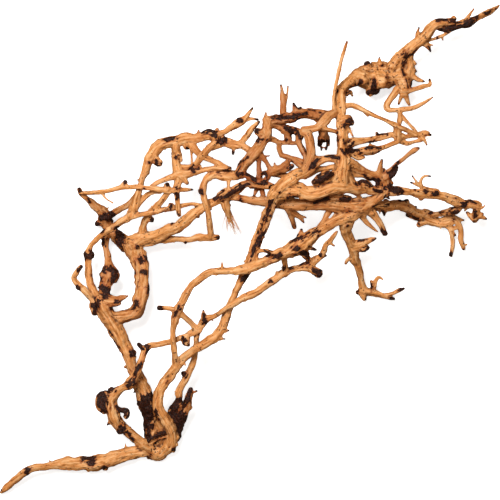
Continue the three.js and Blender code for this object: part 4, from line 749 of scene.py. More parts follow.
@dataclass
class Route:
    """A shoot's middle line: places, radii and a turning frame at close, even steps.

    The line is a cubic through the shoot's points. Its slope at a point is the weighted mean of the slopes
    of the two stretches that meet there, and each stretch is timed by the square root of its length.
    """

    limb: int
    shoot: int
    points: np.ndarray
    spacing: float
    centres: np.ndarray = field(init=False)
    radii: np.ndarray = field(init=False)
    along: np.ndarray = field(init=False)
    ways: np.ndarray = field(init=False)
    ups: np.ndarray = field(init=False)
    sides: np.ndarray = field(init=False)

    def __post_init__(self) -> None:
        """Works out the line, its radii and its frames."""
        shrink = (SHEET.eye_height - self.points[:, 2]) / SHEET.eye_height
        knots = np.column_stack([SHEET.place(self.points[:, :3]), self.points[:, 3] * shrink])
        stretch = np.linalg.norm(np.diff(knots[:, :3], axis=0), axis=1)
        time = np.sqrt(stretch)
        slope = np.diff(knots, axis=0) / time[:, None]
        inner = (slope[:-1] * time[1:, None] + slope[1:] * time[:-1, None]) / (time[:-1] + time[1:])[:, None]
        slopes = np.vstack([slope[:1], inner, slope[-1:]])
        rows = []
        for k, length in enumerate(stretch):
            count = max(1, math.ceil(length / self.spacing))
            t = (np.arange(count) / count)[:, None]
            h = time[k]
            rows.append(
                (1 + 2 * t) * (1 - t) ** 2 * knots[k] + t * (1 - t) ** 2 * h * slopes[k]
                + t * t * (3 - 2 * t) * knots[k + 1] + t * t * (t - 1) * h * slopes[k + 1]
            )
        line = np.vstack([*rows, knots[-1:]])
        self.radii = np.maximum(line[:, 3], THINNEST)
        self.centres = line[:, :3]
        steps = np.linalg.norm(np.diff(self.centres, axis=0), axis=1)
        self.along = np.concatenate([[0.0], np.cumsum(steps)])
        self.ways = unit(np.gradient(self.centres, axis=0))
        self.ups = np.empty_like(self.ways)
        up = np.array([0.0, 0.0, 1.0])
        for ring, way in enumerate(self.ways):
            up = up - way * up.dot(way)
            if np.linalg.norm(up) < LEAST_UP:
                up = np.array([1.0, 0.0, 0.0]) - way * way[0]
            up = up / np.linalg.norm(up)
            self.ups[ring] = up
        self.sides = np.cross(self.ways, self.ups)


@dataclass(frozen=True)
class ShootSkin:
    """The closed skin round one route: rings of a wandering radius, with domed ends."""

    sides: int = 16
    least_radius: float = 0.9
    thicken: float = 0.4
    wander: float = 0.16
    wander_gain: float = 1.4
    wander_length: float = 7.0
    flute: float = 0.07
    flute_lengths: tuple[float, float] = (17.0, 23.0)
    sway: float = 0.13
    sway_length: float = 8.0
    dome: float = 0.7
    dome_rings: int = 3
    tip: float = 0.05

    def build(self, route: Route) -> tuple[np.ndarray, np.ndarray, np.ndarray]:
        """The skin's corners and faces.

        The radius at angle a and distance s is r(s) times 1 plus a smooth random value read at
        (cos a, sin a, s/7), so it wanders with no seam, plus two and three shallow flutes round the limb
        that turn slowly with s. The middle line sways by a smooth random share of the radius. Each end
        closes as a half ellipse whose ring shrinks by a cosine.

        Args:
            route: the shoot's middle line.

        Returns:
            Corners, four-sided faces and three-sided faces.
        """
        seed = 17 * route.limb + 5 * route.shoot
        s = route.along
        radii = np.maximum(route.radii, self.least_radius) + self.thicken * soft_step(0.7, 2.0, route.radii)
        still = np.column_stack([s / self.sway_length, np.full_like(s, 3.7), np.full_like(s, 1.1)])
        ease = soft_step(0.0, 6.0, np.minimum(s, s[-1] - s))
        sway_up = self.sway * radii * cloudy(still, 1.0, seed + 1, 2) * ease
        sway_side = self.sway * radii * cloudy(still, 1.0, seed + 2, 2) * ease
        centres = route.centres + route.ups * sway_up[:, None] + route.sides * sway_side[:, None]
        lean = np.arange(1, self.dome_rings + 1) / (self.dome_rings + 1) * math.pi / 2
        start = centres[0] - route.ways[0] * (self.dome * radii[0] * np.sin(lean))[::-1, None]
        end = centres[-1] + route.ways[-1] * (self.dome * radii[-1] * np.sin(lean))[:, None]
        rings = np.vstack([start, centres, end])
        scale = np.concatenate([radii[0] * np.cos(lean)[::-1], radii, radii[-1] * np.cos(lean)])
        ups = np.vstack([np.repeat(route.ups[:1], self.dome_rings, 0), route.ups,
                         np.repeat(route.ups[-1:], self.dome_rings, 0)])
        across = np.vstack([np.repeat(route.sides[:1], self.dome_rings, 0), route.sides,
                            np.repeat(route.sides[-1:], self.dome_rings, 0)])
        distance = np.concatenate([np.zeros(self.dome_rings), s, np.full(self.dome_rings, s[-1])])
        angle = np.arange(self.sides) / self.sides * 2 * math.pi
        a, d = np.meshgrid(angle, distance)
        spots = np.column_stack([np.cos(a).ravel(), np.sin(a).ravel(), (d / self.wander_length).ravel()])
        wander = self.wander * cloudy(spots + seed * 0.37, 1.0, seed, 2).reshape(a.shape) * self.wander_gain
        two, three = self.flute_lengths
        flutes = np.cos(2 * a + d / two + seed) + 0.7 * np.cos(3 * a - d / three + 2 * seed)
        reach = scale[:, None] * (1 + wander + self.flute * flutes)
        corners = (rings[:, None] + ups[:, None] * (reach * np.cos(a))[..., None]
                   + across[:, None] * (reach * np.sin(a))[..., None]).reshape(-1, 3)
        tips = np.vstack([start[0] - route.ways[0] * self.tip, end[-1] + route.ways[-1] * self.tip])
        outward = [np.roll(faces[:, ::-1], 1, axis=1) for faces in tube_faces(len(rings), self.sides)]
        return np.vstack([corners, tips]), *outward


@dataclass(frozen=True)
class KnotMaker:
    """Small knots and broken spurs that stud the limbs, each a short closed ball or cone."""

    seed: int = 4071
    step: float = 17.0
    draws: tuple[float, ...] = (0.9, 1.2, 2.2)
    odds: tuple[float, ...] = (0.5, 0.32, 0.18)
    rings: int = 7
    sides: int = 10

    def build(self, routes: list[Route]) -> tuple[np.ndarray, np.ndarray, np.ndarray, np.ndarray]:
        """One knot about every step along each route, at a random turn, half sunk in the wood.

        A knot is a ball of radius k, drawn out by a factor e away from the limb: ring i has the height
        -k cos(b) e and the width k sin(b), where b runs from 0 to 180 degrees.

        Args:
            routes: the limbs' middle lines.

        Returns:
            Corners, four-sided faces, three-sided faces, and the knots as rows of x, y, z, size and darkness.
        """
        chance = np.random.default_rng(self.seed)
        places, outs, sizes, draws = [], [], [], []
        for route in routes:
            length = route.along[-1]
            for s in np.arange(self.step * chance.uniform(0.2, 1.0), length, self.step):
                spot = int(np.searchsorted(route.along, min(s + chance.uniform(-5, 5), length - 0.1)))
                r = route.radii[spot]
                turn = chance.uniform(-0.75, 0.75) * math.pi
                size = chance.uniform(0.26, 0.48) * min(r, 5.5) + 0.25
                draw = chance.choice(self.draws, p=self.odds)
                if r < 1.3 or chance.random() < 0.12:
                    continue
                out = route.ups[spot] * math.cos(turn) + route.sides[spot] * math.sin(turn)
                out = out + route.ways[spot] * chance.uniform(-0.5, 0.5)
                out /= np.linalg.norm(out)
                places.append(route.centres[spot] + out * (r - 0.25 * size))
                outs.append(out)
                sizes.append(size)
                draws.append(draw)
        places, outs = np.array(places), np.array(outs)
        sizes, draws = np.array(sizes), np.array(draws)
        side = unit(np.cross(outs, [0.31, 0.87, 0.4]))
        other = np.cross(outs, side)
        b = np.linspace(0, math.pi, self.rings + 2)[1:-1]
        a = np.arange(self.sides) / self.sides * 2 * math.pi
        width = np.sin(b)[None, :, None] * np.ones(self.sides)[None, None]
        thin = np.where(draws > 2, 0.62, 1.0)[:, None, None]
        x = sizes[:, None, None] * thin * width * np.cos(a)
        y = sizes[:, None, None] * thin * width * np.sin(a)
        z = -np.cos(b)[None, :, None] * (sizes * draws)[:, None, None] * np.ones(self.sides)
        ball = (places[:, None, None] + side[:, None, None] * x[..., None] + other[:, None, None] * y[..., None]
                + outs[:, None, None] * z[..., None]).reshape(len(places), -1, 3)
        poles = np.stack([places - outs * (sizes * draws)[:, None], places + outs * (sizes * draws)[:, None]], axis=1)
        corners = np.concatenate([ball, poles], axis=1)
        quads, tris = (repeated(faces, *corners.shape[:2]) for faces in tube_faces(self.rings, self.sides))
        dark = chance.random(len(places))
        marks = np.column_stack([places + outs * (0.55 * sizes * draws)[:, None], sizes, dark])
        return corners.reshape(-1, 3), quads, tris, marks


def mesh_of(name: str, corners: np.ndarray, quads: np.ndarray, tris: np.ndarray) -> bpy.types.Mesh:
    """A mesh from whole arrays of corners, four-sided faces and three-sided faces."""
    mesh = bpy.data.meshes.new(name)
    loops = np.concatenate([quads.ravel(), tris.ravel()]).astype(np.int32)
    sizes = np.concatenate([np.full(len(quads), 4), np.full(len(tris), 3)]).astype(np.int32)
    mesh.vertices.add(len(corners))
    mesh.vertices.foreach_set("co", np.ascontiguousarray(corners, np.float32).ravel())
    mesh.loops.add(len(loops))
    mesh.loops.foreach_set("vertex_index", loops)
    mesh.polygons.add(len(sizes))
    mesh.polygons.foreach_set("loop_start", np.concatenate([[0], np.cumsum(sizes)[:-1]]).astype(np.int32))
    mesh.update(calc_edges=True)
    return mesh


def linked(name: str, mesh: bpy.types.Mesh) -> bpy.types.Object:
    """An object at the origin that holds the mesh."""
    made = bpy.data.objects.new(name, mesh)
    bpy.context.scene.collection.objects.link(made)
    return made


def parted(count: int, a: np.ndarray, b: np.ndarray) -> np.ndarray:
    """The part that each of count things belongs to, where a[i] and b[i] are linked.

    Each round hooks the higher part of a link onto the lower one, then shortens every chain.
    """
    part = np.arange(count)
    while True:
        low = np.minimum(part[a], part[b])
        high = np.maximum(part[a], part[b])
        open_links = low != high
        if not open_links.any():
            return part
        np.minimum.at(part, high[open_links], low[open_links])
        while True:
            shorter = part[part]
            if (shorter == part).all():
                break
            part = shorter


# Limbs that others cross in front of, so their bark strokes stay on themselves
BEHIND_OTHERS = (
    "left_trunk", "stump", "inner_root", "centre_root", "fork_trunk", "lower_limb", "lattice", "dark_tangle",
)


@dataclass(frozen=True)
class WoodClouds:
    """The smooth random values that shape the bark's edges, the grain and the tone."""

    blotches: Cloud = Cloud(1.5, 4.2, 71, 2)
    streaks: Cloud = Cloud(1.3, 2.0, 72, 2, 0.3)
    crumbs: Cloud = Cloud(0.6, 1.1, 70)
    gaps: Cloud = Cloud(1.0, 1.9, 75, 2, 0.2)
    specks: Cloud = Cloud(1.0, 1.7, 76, 1, 0.4)
    patches: Cloud = Cloud(1.0, 17.0, 73, 3)
    fine_fibres: Cloud = Cloud(0.24, 1.3, 81, 2, 0.1)
    wide_fibres: Cloud = Cloud(0.36, 3.2, 82, 1, 0.1)
    creases: Cloud = Cloud(1.0, 2.6, 85, 2, 0.1)
    lumps: Cloud = Cloud(0.75, 6.0, 83, 2)
    crust: Cloud = Cloud(0.5, 1.9, 84, 2)
    slow_tone: Cloud = Cloud(0.35, 45.0, 91, 2)
    quick_tone: Cloud = Cloud(0.25, 12.0, 92, 2)


CLOUDS = WoodClouds()

# A bark depth is how far inside a patch's outline a place is, in millimetres
OUTSIDE = -9.0
BARK_EDGE, STAIN_EDGE, GAP_EDGE = (-0.25, 0.45), (-2.2, 0.3), (0.12, 0.42)
STROKE_REACH = 6.0
# Limbs thinner than this are dark at their free ends, and this share of the knots is dark
BURNT_RADIUS, DARK_KNOTS = 3.2, 0.16
# The relief is full on a limb of this radius, and thinner or thicker limbs have less or more, within a range
FULL_RADIUS, RELIEF_RANGE, CREASE_DEPTH, CRUST_HEIGHT = 4.0, (0.35, 1.35), 0.4, 0.22
# How much of the uneven edge and of the relief a calm limb keeps
CALM_EDGE, CALM_RELIEF = 0.5, 0.55
# The hollow edges and rounds shape the dirt and painted shade in the creases, and the last number is the strength of
# the painted shade on sides and undersides
HOLLOW_EDGE, HOLLOW_ROUNDS, TONE_ROUNDS, SIDE_SHADE = (-0.01, 0.07), 6, 30, 0.55


@dataclass
class WoodSkin:
    """The one grown skin of the whole wood: all shoots fused, its creases filled, then grained.

    Every array has one row for each corner, apart from the faces, the links and the knots.
    """

    voxel: float
    routes: list[Route]
    corners: np.ndarray = field(init=False)
    quads: np.ndarray = field(init=False)
    links: np.ndarray = field(init=False)
    normals: np.ndarray = field(init=False)
    limb: np.ndarray = field(init=False)
    calm: np.ndarray = field(init=False)
    grain: np.ndarray = field(init=False)
    radius: np.ndarray = field(init=False)
    tip: np.ndarray = field(init=False)
    bark: np.ndarray = field(init=False)
    hollow_shade_and_dirt: np.ndarray = field(init=False)
    tone: np.ndarray = field(init=False)
    stain: np.ndarray = field(init=False)
    knots: np.ndarray = field(init=False)

    def grow(self) -> None:
        """Runs every step in order."""
        self.fuse()
        self.even_out(rounds=5)
        self.fill_creases(rounds=10)
        self.find_limbs()
        self.lay_bark()
        self.raise_grain()
        self.shade()

    def fuse(self) -> None:
        """Joins the skins of all shoots in one closed surface, by a remesh in small cells."""
        skin = ShootSkin()
        corners, quads, tris, offset = [], [], [], 0
        for route in self.routes:
            c, q, t = skin.build(route)
            corners.append(c)
            quads.append(q + offset)
            tris.append(t + offset)
            offset += len(c)
        c, q, t, self.knots = KnotMaker().build(self.routes)
        corners.append(c)
        quads.append(q + offset)
        tris.append(t + offset)
        rough = linked("rough", mesh_of("rough", np.vstack(corners), np.vstack(quads), np.vstack(tris)))
        fuse = rough.modifiers.new("fuse", "REMESH")
        fuse.mode = "VOXEL"
        fuse.voxel_size = self.voxel
        done = rough.evaluated_get(bpy.context.evaluated_depsgraph_get())
        mesh = done.to_mesh()
        self.corners = np.empty(len(mesh.vertices) * 3, np.float32)
        mesh.vertices.foreach_get("co", self.corners)
        self.corners = self.corners.reshape(-1, 3).astype(float)
        loops = np.empty(len(mesh.loops), np.int32)
        mesh.loops.foreach_get("vertex_index", loops)
        self.quads = loops.reshape(-1, 4)
        done.to_mesh_clear()
        bpy.data.objects.remove(rough)
        self.keep_largest()

    def keep_largest(self) -> None:
        """Drops every loose crumb that the fusing leaves, and lists the links between corners."""
        q = self.quads
        ends = np.sort(np.vstack([q[:, [0, 1]], q[:, [1, 2]], q[:, [2, 3]], q[:, [3, 0]]]), axis=1)
        key = np.unique(ends[:, 0].astype(np.int64) * len(self.corners) + ends[:, 1])
        links = np.column_stack([key // len(self.corners), key % len(self.corners)])
        part = parted(len(self.corners), links[:, 0], links[:, 1])
        names, sizes = np.unique(part, return_counts=True)
        LOG.info("fused skin: %d corners in %s parts", len(part), np.sort(sizes)[::-1][:6])
        keep = part == names[sizes.argmax()]
        number = np.cumsum(keep) - 1
        self.corners = self.corners[keep]
        self.quads = number[q[keep[q[:, 0]]]]
        self.links = number[links[keep[links[:, 0]]]]

    def mean_of_neighbours(self, values: np.ndarray) -> np.ndarray:
        """The mean of each corner's linked neighbours, for one value or a row of values each."""
        a, b = self.links[:, 0], self.links[:, 1]
        count = np.bincount(a, minlength=len(values)) + np.bincount(b, minlength=len(values))
        table = values.reshape(len(values), -1)
        total = np.column_stack([
            np.bincount(a, table[b, k], len(values)) + np.bincount(b, table[a, k], len(values))
            for k in range(table.shape[1])
        ])
        return (total / count[:, None]).reshape(values.shape)

    def find_normals(self) -> np.ndarray:
        """Outward normals: the cross product of each face's diagonals, summed at its corners."""
        p = self.corners[self.quads]
        face = np.cross(p[:, 2] - p[:, 0], p[:, 3] - p[:, 1])
        total = np.column_stack([
            sum(np.bincount(self.quads[:, c], face[:, k], len(self.corners)) for c in range(4)) for k in range(3)
        ])
        return unit(total)

    def even_out(self, rounds: int) -> None:
        """Smooths the cells' steps: each round moves half way to the neighbours' mean, then back out a little more."""
        for _ in range(rounds):
            self.corners += 0.5 * (self.mean_of_neighbours(self.corners) - self.corners)
            self.corners -= 0.52 * (self.mean_of_neighbours(self.corners) - self.corners)

    def fill_creases(self, rounds: int) -> None:
        """Fills the creases at the forks: a corner whose neighbours stand further out moves out to meet them."""
        for _ in range(rounds):
            normals = self.find_normals()
            out = ((self.mean_of_neighbours(self.corners) - self.corners) * normals).sum(axis=1)
            self.corners += normals * (0.9 * np.maximum(out, 0.0))[:, None]

    def find_limbs(self) -> None:
        """Finds, for each corner, the route that it lies deepest in, and its place in that route's frame.

        Corners and the routes' steps are sorted into cubes. A corner is compared with the steps in its own
        and the neighbouring cubes, and takes the step with the least distance less radius.
        """
        cube = 12.0
        centres = np.vstack([r.centres for r in self.routes])
        radii = np.concatenate([r.radii for r in self.routes])
        owner = np.concatenate([np.full(len(r.centres), i) for i, r in enumerate(self.routes)])
        step = np.concatenate([np.arange(len(r.centres)) for r in self.routes])
        low = self.corners.min(axis=0) - 2 * cube
        span = 1 + ((self.corners.max(axis=0) + 2 * cube - low) // cube).astype(int)

        def number(places: np.ndarray) -> np.ndarray:
            """The number of the cube that each place is in."""
            cell = ((places - low) // cube).astype(int)
            return (cell[:, 0] * span[1] + cell[:, 1]) * span[2] + cell[:, 2]

        shifts = np.array([[i, j, k] for i in (-1, 0, 1) for j in (-1, 0, 1) for k in (-1, 0, 1)]) * cube
        near: dict[int, list[int]] = {}
        for shift in shifts:
            for index, cell in enumerate(number(np.clip(centres + shift, low, low + (span - 1) * cube))):
                near.setdefault(int(cell), []).append(index)
        cells = number(self.corners)
        order = np.argsort(cells, kind="stable")
        starts = np.flatnonzero(np.diff(cells[order], prepend=-1))
        best = np.zeros(len(self.corners), int)
        for group in np.split(order, starts[1:]):
            choice = np.array(near.get(int(cells[group[0]]), [0]))
            gap = np.linalg.norm(self.corners[group][:, None] - centres[choice][None], axis=2) - radii[choice]
            best[group] = choice[gap.argmin(axis=1)]
        ups = np.vstack([r.ups for r in self.routes])[best]
        sides = np.vstack([r.sides for r in self.routes])[best]
        ways = np.vstack([r.ways for r in self.routes])[best]
        along = np.concatenate([r.along for r in self.routes])[best]
        away = self.corners - centres[best]
        seed = owner[best] * 37.0
        self.grain = np.column_stack([
            (away * sides).sum(1), (away * ups).sum(1), along + (away * ways).sum(1) + seed,
        ])
        self.radius = radii[best]
        self.limb = np.array([r.limb for r in self.routes])[owner[best]]
        self.calm = np.isin(self.limb, [i for i, name in enumerate(LIMBS) if name in CALM_LIMBS])
        self.grain[self.calm] = self.corners[self.calm][:, [1, 2, 0]]
        self.tip = self.from_free_end(centres, radii, owner, step, best)

    def from_free_end(self, centres: np.ndarray, radii: np.ndarray, owner: np.ndarray, step: np.ndarray,
                      best: np.ndarray) -> np.ndarray:
        """How far each corner is from the free end of its own route, or a large number where it has none."""
        distance = np.full(len(self.corners), 99.0)
        for index, route in enumerate(self.routes):
            for end in (0, -1):
                gap = np.linalg.norm(centres - route.centres[end], axis=1) - radii
                if gap[owner != index].min() < 0.4 * route.radii[end]:
                    continue
                mine = owner[best] == index
                away = np.linalg.norm(self.corners[mine] - route.centres[end], axis=1)
                distance[mine] = np.minimum(distance[mine], away)
        return distance

    def lay_bark(self) -> None:
        """Marks dark bark: in the strokes, at the free ends and knots, and in patches all round the wood.

        A patch's outline is pushed in and out by smooth random values, some of them stretched along the limb,
        so it is ragged. The stain reaches a little further than the bark itself.
        """
        uneven = CLOUDS.blotches.at(self.corners) + CLOUDS.streaks.at(self.grain) + CLOUDS.crumbs.at(self.corners)
        uneven *= np.where(self.calm, CALM_EDGE, 1.0)
        gaps = soft_step(*GAP_EDGE, CLOUDS.gaps.at(self.grain)) * ~self.calm
        depth = self.stroke_depth()
        in_strokes = depth - 0.25 + uneven - 2.4 * gaps * (depth < 3.5)
        specks = 3.0 * (CLOUDS.specks.at(self.grain) - 0.5)
        specks = specks + 0.8 * np.clip(depth + 1.0, -4.0, 1.0) + uneven - 3.0 * self.calm
        thin = self.radius < BURNT_RADIUS
        burnt = (1.0 - self.tip + 0.9 * uneven) * thin + OUTSIDE * ~thin
        down = soft_step(0.35, -0.35, self.find_normals()[:, 2])
        cloud = CLOUDS.patches.at(self.corners) + 0.05 * uneven
        patches = 14.0 * (cloud - 0.4 - 0.22 * (1 - down)) - 1.5 * gaps
        knotted = self.near_knots() + 0.5 * uneven
        whole = np.maximum.reduce([in_strokes, burnt, patches, knotted, specks])
        self.bark = soft_step(*BARK_EDGE, whole)
        self.stain = soft_step(*STAIN_EDGE, whole + 0.5 * uneven)

    def stroke_depth(self) -> np.ndarray:
        """How far each corner is inside the nearest bark stroke, seen from above, and below 0 outside."""
        spots = SHEET.across_down(self.corners)
        depth = np.full(len(self.corners), OUTSIDE)
        names = list(LIMBS)
        for name, stroke in ((n, np.array(s, float)) for n, strokes in BARK_STROKES.items() for s in strokes):
            reach = stroke[:, 2].max() + STROKE_REACH
            inside = ((spots > stroke[:, :2].min(0) - reach) & (spots < stroke[:, :2].max(0) + reach)).all(axis=1)
            if name in BEHIND_OTHERS:
                inside &= self.limb == names.index(name)
            here = spots[inside]
            best = np.full(len(here), OUTSIDE)
            ends = stroke[1:] if len(stroke) > 1 else stroke
            for a, b in zip(stroke, ends):
                line = b[:2] - a[:2]
                share = np.clip(((here - a[:2]) @ line) / max(line @ line, 1e-9), 0.0, 1.0)
                gap = np.linalg.norm(here - a[:2] - share[:, None] * line, axis=1)
                best = np.maximum(best, a[2] + share * (b[2] - a[2]) - gap)
            depth[inside] = np.maximum(depth[inside], best)
        return depth

    def near_knots(self) -> np.ndarray:
        """How far each corner is inside the dark top of the nearest knot, below 0 outside."""
        dark = self.knots[self.knots[:, 4] < DARK_KNOTS]
        best = np.full(len(self.corners), OUTSIDE)
        for x, y, z, size, _ in dark:
            near = np.flatnonzero(np.abs(self.corners - [x, y, z]).max(axis=1) < size + 3)
            gap = np.linalg.norm(self.corners[near] - [x, y, z], axis=1)
            best[near] = np.maximum(best[near], 0.75 * size - gap)
        return best

    def raise_grain(self) -> None:
        """Raises the fibres, lumps and bark along the normals.

        Fibres are smooth random values that are stretched ten times along the limb. Bark stands about a fifth
        of a millimetre proud and is rough.
        """
        normals = self.find_normals()
        size = np.clip(self.radius / FULL_RADIUS, *RELIEF_RANGE) * np.where(self.calm, CALM_RELIEF, 1.0)
        fibres = CLOUDS.fine_fibres.at(self.grain) + CLOUDS.wide_fibres.at(self.grain)
        creases = -CREASE_DEPTH * soft_step(0.16, 0.0, np.abs(CLOUDS.creases.at(self.grain)))
        lumps = CLOUDS.lumps.at(self.corners)
        crust = CRUST_HEIGHT + CLOUDS.crust.at(self.corners)
        height = (fibres + lumps + creases) * size + self.bark * crust * np.clip(self.radius / 2.5, 0.6, 1.3)
        height = 0.5 * height + 0.5 * self.mean_of_neighbours(height)
        self.corners += normals * height[:, None]
        self.corners[:, 2] = np.maximum(self.corners[:, 2], 0.0)
        self.normals = self.find_normals()

    def shade(self) -> None:
        """Marks the hollows, with dirt and painted shade in the creases, and the tone, which drifts slowly from limb
        to limb.

        The tone is redder and darker on the sides and undersides, by how far they face down: painted shade.
        """
        bend = ((self.mean_of_neighbours(self.corners) - self.corners) * self.normals).sum(axis=1)
        for _ in range(HOLLOW_ROUNDS):
            bend = 0.4 * bend + 0.6 * self.mean_of_neighbours(bend)
        # Painted shade and dirt: the more hollow a corner, the darker it is painted
        self.hollow_shade_and_dirt = soft_step(*HOLLOW_EDGE, bend / self.voxel)
        limb_tone = np.array([AMBER_TONE.get(name, 0.0) for name in LIMBS])
        tone = limb_tone[self.limb]
        for _ in range(TONE_ROUNDS):
            tone = self.mean_of_neighbours(tone)
        # Painted shade: the more a corner faces sideways or down, the redder and darker it is painted
        painted_side_shade = SIDE_SHADE * soft_step(0.8, -0.35, self.normals[:, 2])
        self.tone = tone + painted_side_shade + CLOUDS.slow_tone.at(self.corners) + CLOUDS.quick_tone.at(self.corners)


# Limbs that are one smooth, swollen lump
CALM_LIMBS = ("head",)

# How much redder or darker a limb's wood is than the rest, from 0 to 1
AMBER_TONE: dict[str, float] = {
    "stump": 0.8, "low_knuckle": 0.5, "knob_limb": 0.6, "dark_limb": 0.7, "ragged_cup": 0.8, "lattice": 0.6,
    "dark_tangle": 1.0, "lower_limb": 0.35, "stub_limb": 0.5, "split_limb": 0.4, "curved_limb": 0.4,
    "claw": 0.4, "star_joint": 0.2, "lower_arm": 0.15, "fork_trunk": 0.2, "left_trunk": 0.1, "roof_limb": 0.3,
}


@dataclass
class LimbGroup:
    """A few neighbouring limbs, as one piece; the finish field is only a label."""

    name: str
    limbs: tuple[str, ...]
    finish: Finish = Finish.HONEY

    def build(self, skin: WoodSkin, mine: np.ndarray, finish: bpy.types.Material) -> bpy.types.Object:
        """Cuts this group's faces out of the grown skin and closes each cut with a fan to its middle.

        Args:
            skin: the whole wood.
            mine: which of the skin's faces belong to this group.
            finish: the material.

        Returns:
            The finished piece, in the frame, standing for its limbs.
        """
        quads = skin.quads[mine]
        used, flat = np.unique(quads, return_inverse=True)
        quads = flat.reshape(-1, 4)
        count = len(used)
        starts = quads.ravel().astype(np.int64)
        ends = np.roll(quads, -1, axis=1).ravel().astype(np.int64)
        rim = ~np.isin(starts * count + ends, ends * count + starts)
        a, b = starts[rim], ends[rim]
        part = parted(count, a, b)
        rims, which = np.unique(part[a], return_inverse=True)
        corners = skin.corners[used]
        share = np.bincount(which, minlength=len(rims))[:, None]
        middles = np.column_stack([np.bincount(which, corners[a, k], len(rims)) for k in range(3)])
        middles = middles / np.maximum(share, 1)
        caps = np.column_stack([b, a, count + which])
        mesh = mesh_of(self.name, np.vstack([corners, middles]) * MM, quads, caps)
        values = {"bark": skin.bark, "stain": skin.stain, "hollow_shade_and_dirt": skin.hollow_shade_and_dirt, "tone": skin.tone}
        for key, value in values.items():
            layer = mesh.attributes.new(key, "FLOAT", "POINT")
            layer.data.foreach_set("value", np.concatenate([value[used], np.zeros(len(rims))]).astype(np.float32))
        grain = mesh.attributes.new("grain", "FLOAT_VECTOR", "POINT")
        grain.data.foreach_set("vector", np.vstack([skin.grain[used], middles]).astype(np.float32).ravel())
        mesh.polygons.foreach_set("use_smooth", np.ones(len(mesh.polygons), bool))
        normals = np.vstack([skin.normals[used], np.tile([0.0, 0.0, 1.0], (len(rims), 1))])
        mesh.normals_split_custom_set_from_vertices(normals.astype(np.float32).tolist())
        mesh.materials.append(finish)
        piece = linked(self.name, mesh)
        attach(piece, "root")
        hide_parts(*self.limbs)
        LOG.info("%s: %d faces, %d cuts closed", self.name, len(mesh.polygons), len(rims))
        return piece


GROUPS: tuple[LimbGroup, ...] = (
    LimbGroup("base_roots", ("base_knee", "long_root", "stump")),
    LimbGroup("trunk_roots", ("left_trunk", "left_arm", "arm_strut")),
    LimbGroup("inner_roots", ("inner_root", "rising_root", "middle_root", "centre_root")),
    LimbGroup("fork_limbs", ("fork_trunk", "knob_limb", "loop_limb", "elbow_limb", "low_knuckle")),
    LimbGroup("arch_limbs", ("arch_limb", "arch_top", "long_twig", "side_twig", "diagonal_twig")),
    LimbGroup("left_limbs", ("left_limb", "lower_fork", "cross_limb", "upper_left_twig")),
    LimbGroup("upper_forks", ("hanging_limb", "crossing_twigs", "top_fork", "top_prong", "curved_limb")),
    LimbGroup("dark_crown", ("dark_limb", "lattice", "ragged_cup", "split_limb", "stub_limb"), Finish.AMBER),
    LimbGroup("bark_tangle", ("dark_tangle",), Finish.BARK),
    LimbGroup("column_limbs", ("column", "upright_stick", "thin_branch", "bundle_upper", "bundle_lower")),
    LimbGroup("head_limbs", ("head", "long_arm", "arm_tip", "arm_strut_right", "head_fork")),
    LimbGroup("crown_limbs", ("bark_limb", "crown_limb", "roof_limb", "lower_limb", "star_joint")),
    LimbGroup("return_roots", ("long_branch", "lower_branch", "bridge_branch")),
    LimbGroup("right_limbs", ("foot_limb", "foot", "right_arm", "lower_arm", "claw", "claw_toes")),
)


@dataclass
class Driftwood:
    """The whole branch: its grown skin, parted into the groups of limbs."""

    voxel: float
    route_step: float = 1.5
    least_island: int = 400
    votes_needed: int = 3

    def part_faces(self, skin: WoodSkin) -> np.ndarray:
        """Gives each face to a group, with no islands and no two groups that touch at a corner only.

        An island goes to its larger neighbour, and a face goes where most of its four neighbours are.

        Args:
            skin: the grown wood.

        Returns:
            The group's number for each face.
        """
        names = list(LIMBS)
        group_of = np.array([next(i for i, g in enumerate(GROUPS) if n in g.limbs) for n in names])
        face_group = np.sort(group_of[skin.limb][skin.quads], axis=1)[:, 1]
        q = skin.quads.astype(np.int64)
        starts, ends = q.ravel(), np.roll(q, -1, axis=1).ravel()
        key = np.minimum(starts, ends) * len(skin.corners) + np.maximum(starts, ends)
        face = np.repeat(np.arange(len(q)), 4)
        order = np.argsort(key, kind="stable")
        key, face = key[order], face[order]
        twins = np.flatnonzero(key[1:] == key[:-1])
        a, b = face[twins], face[twins + 1]
        for _ in range(8):
            same = face_group[a] == face_group[b]
            part = parted(len(q), a[same], b[same])
            size = np.bincount(part, minlength=len(q))[part]
            grow = ~same & (size[a] < self.least_island) & (size[b] > size[a])
            back = ~same & (size[b] < self.least_island) & (size[a] >= size[b])
            if not (grow.any() or back.any()):
                break
            face_group[a[grow]] = face_group[b[grow]]
            face_group[b[back]] = face_group[a[back]]
        for _ in range(12):
            votes = np.zeros((len(q), len(GROUPS)), np.int8)
            np.add.at(votes, (a, face_group[b]), 1)
            np.add.at(votes, (b, face_group[a]), 1)
            top = votes.argmax(axis=1)
            change = (votes[np.arange(len(q)), top] >= self.votes_needed) & (top != face_group)
            if not change.any():
                break
            face_group[change] = top[change]
        return face_group

    def build(self, finish: bpy.types.Material) -> None:
        """Grows the wood and makes one piece of each group."""
        routes = [
            Route(limb, number, np.array(shoot, float), self.route_step)
            for limb, shoots in enumerate(LIMBS.values())
            for number, shoot in enumerate(shoots)
        ]
        skin = WoodSkin(self.voxel, routes)
        skin.grow()
        groups = self.part_faces(skin)
        for number, group in enumerate(GROUPS):
            group.build(skin, groups == number, finish)


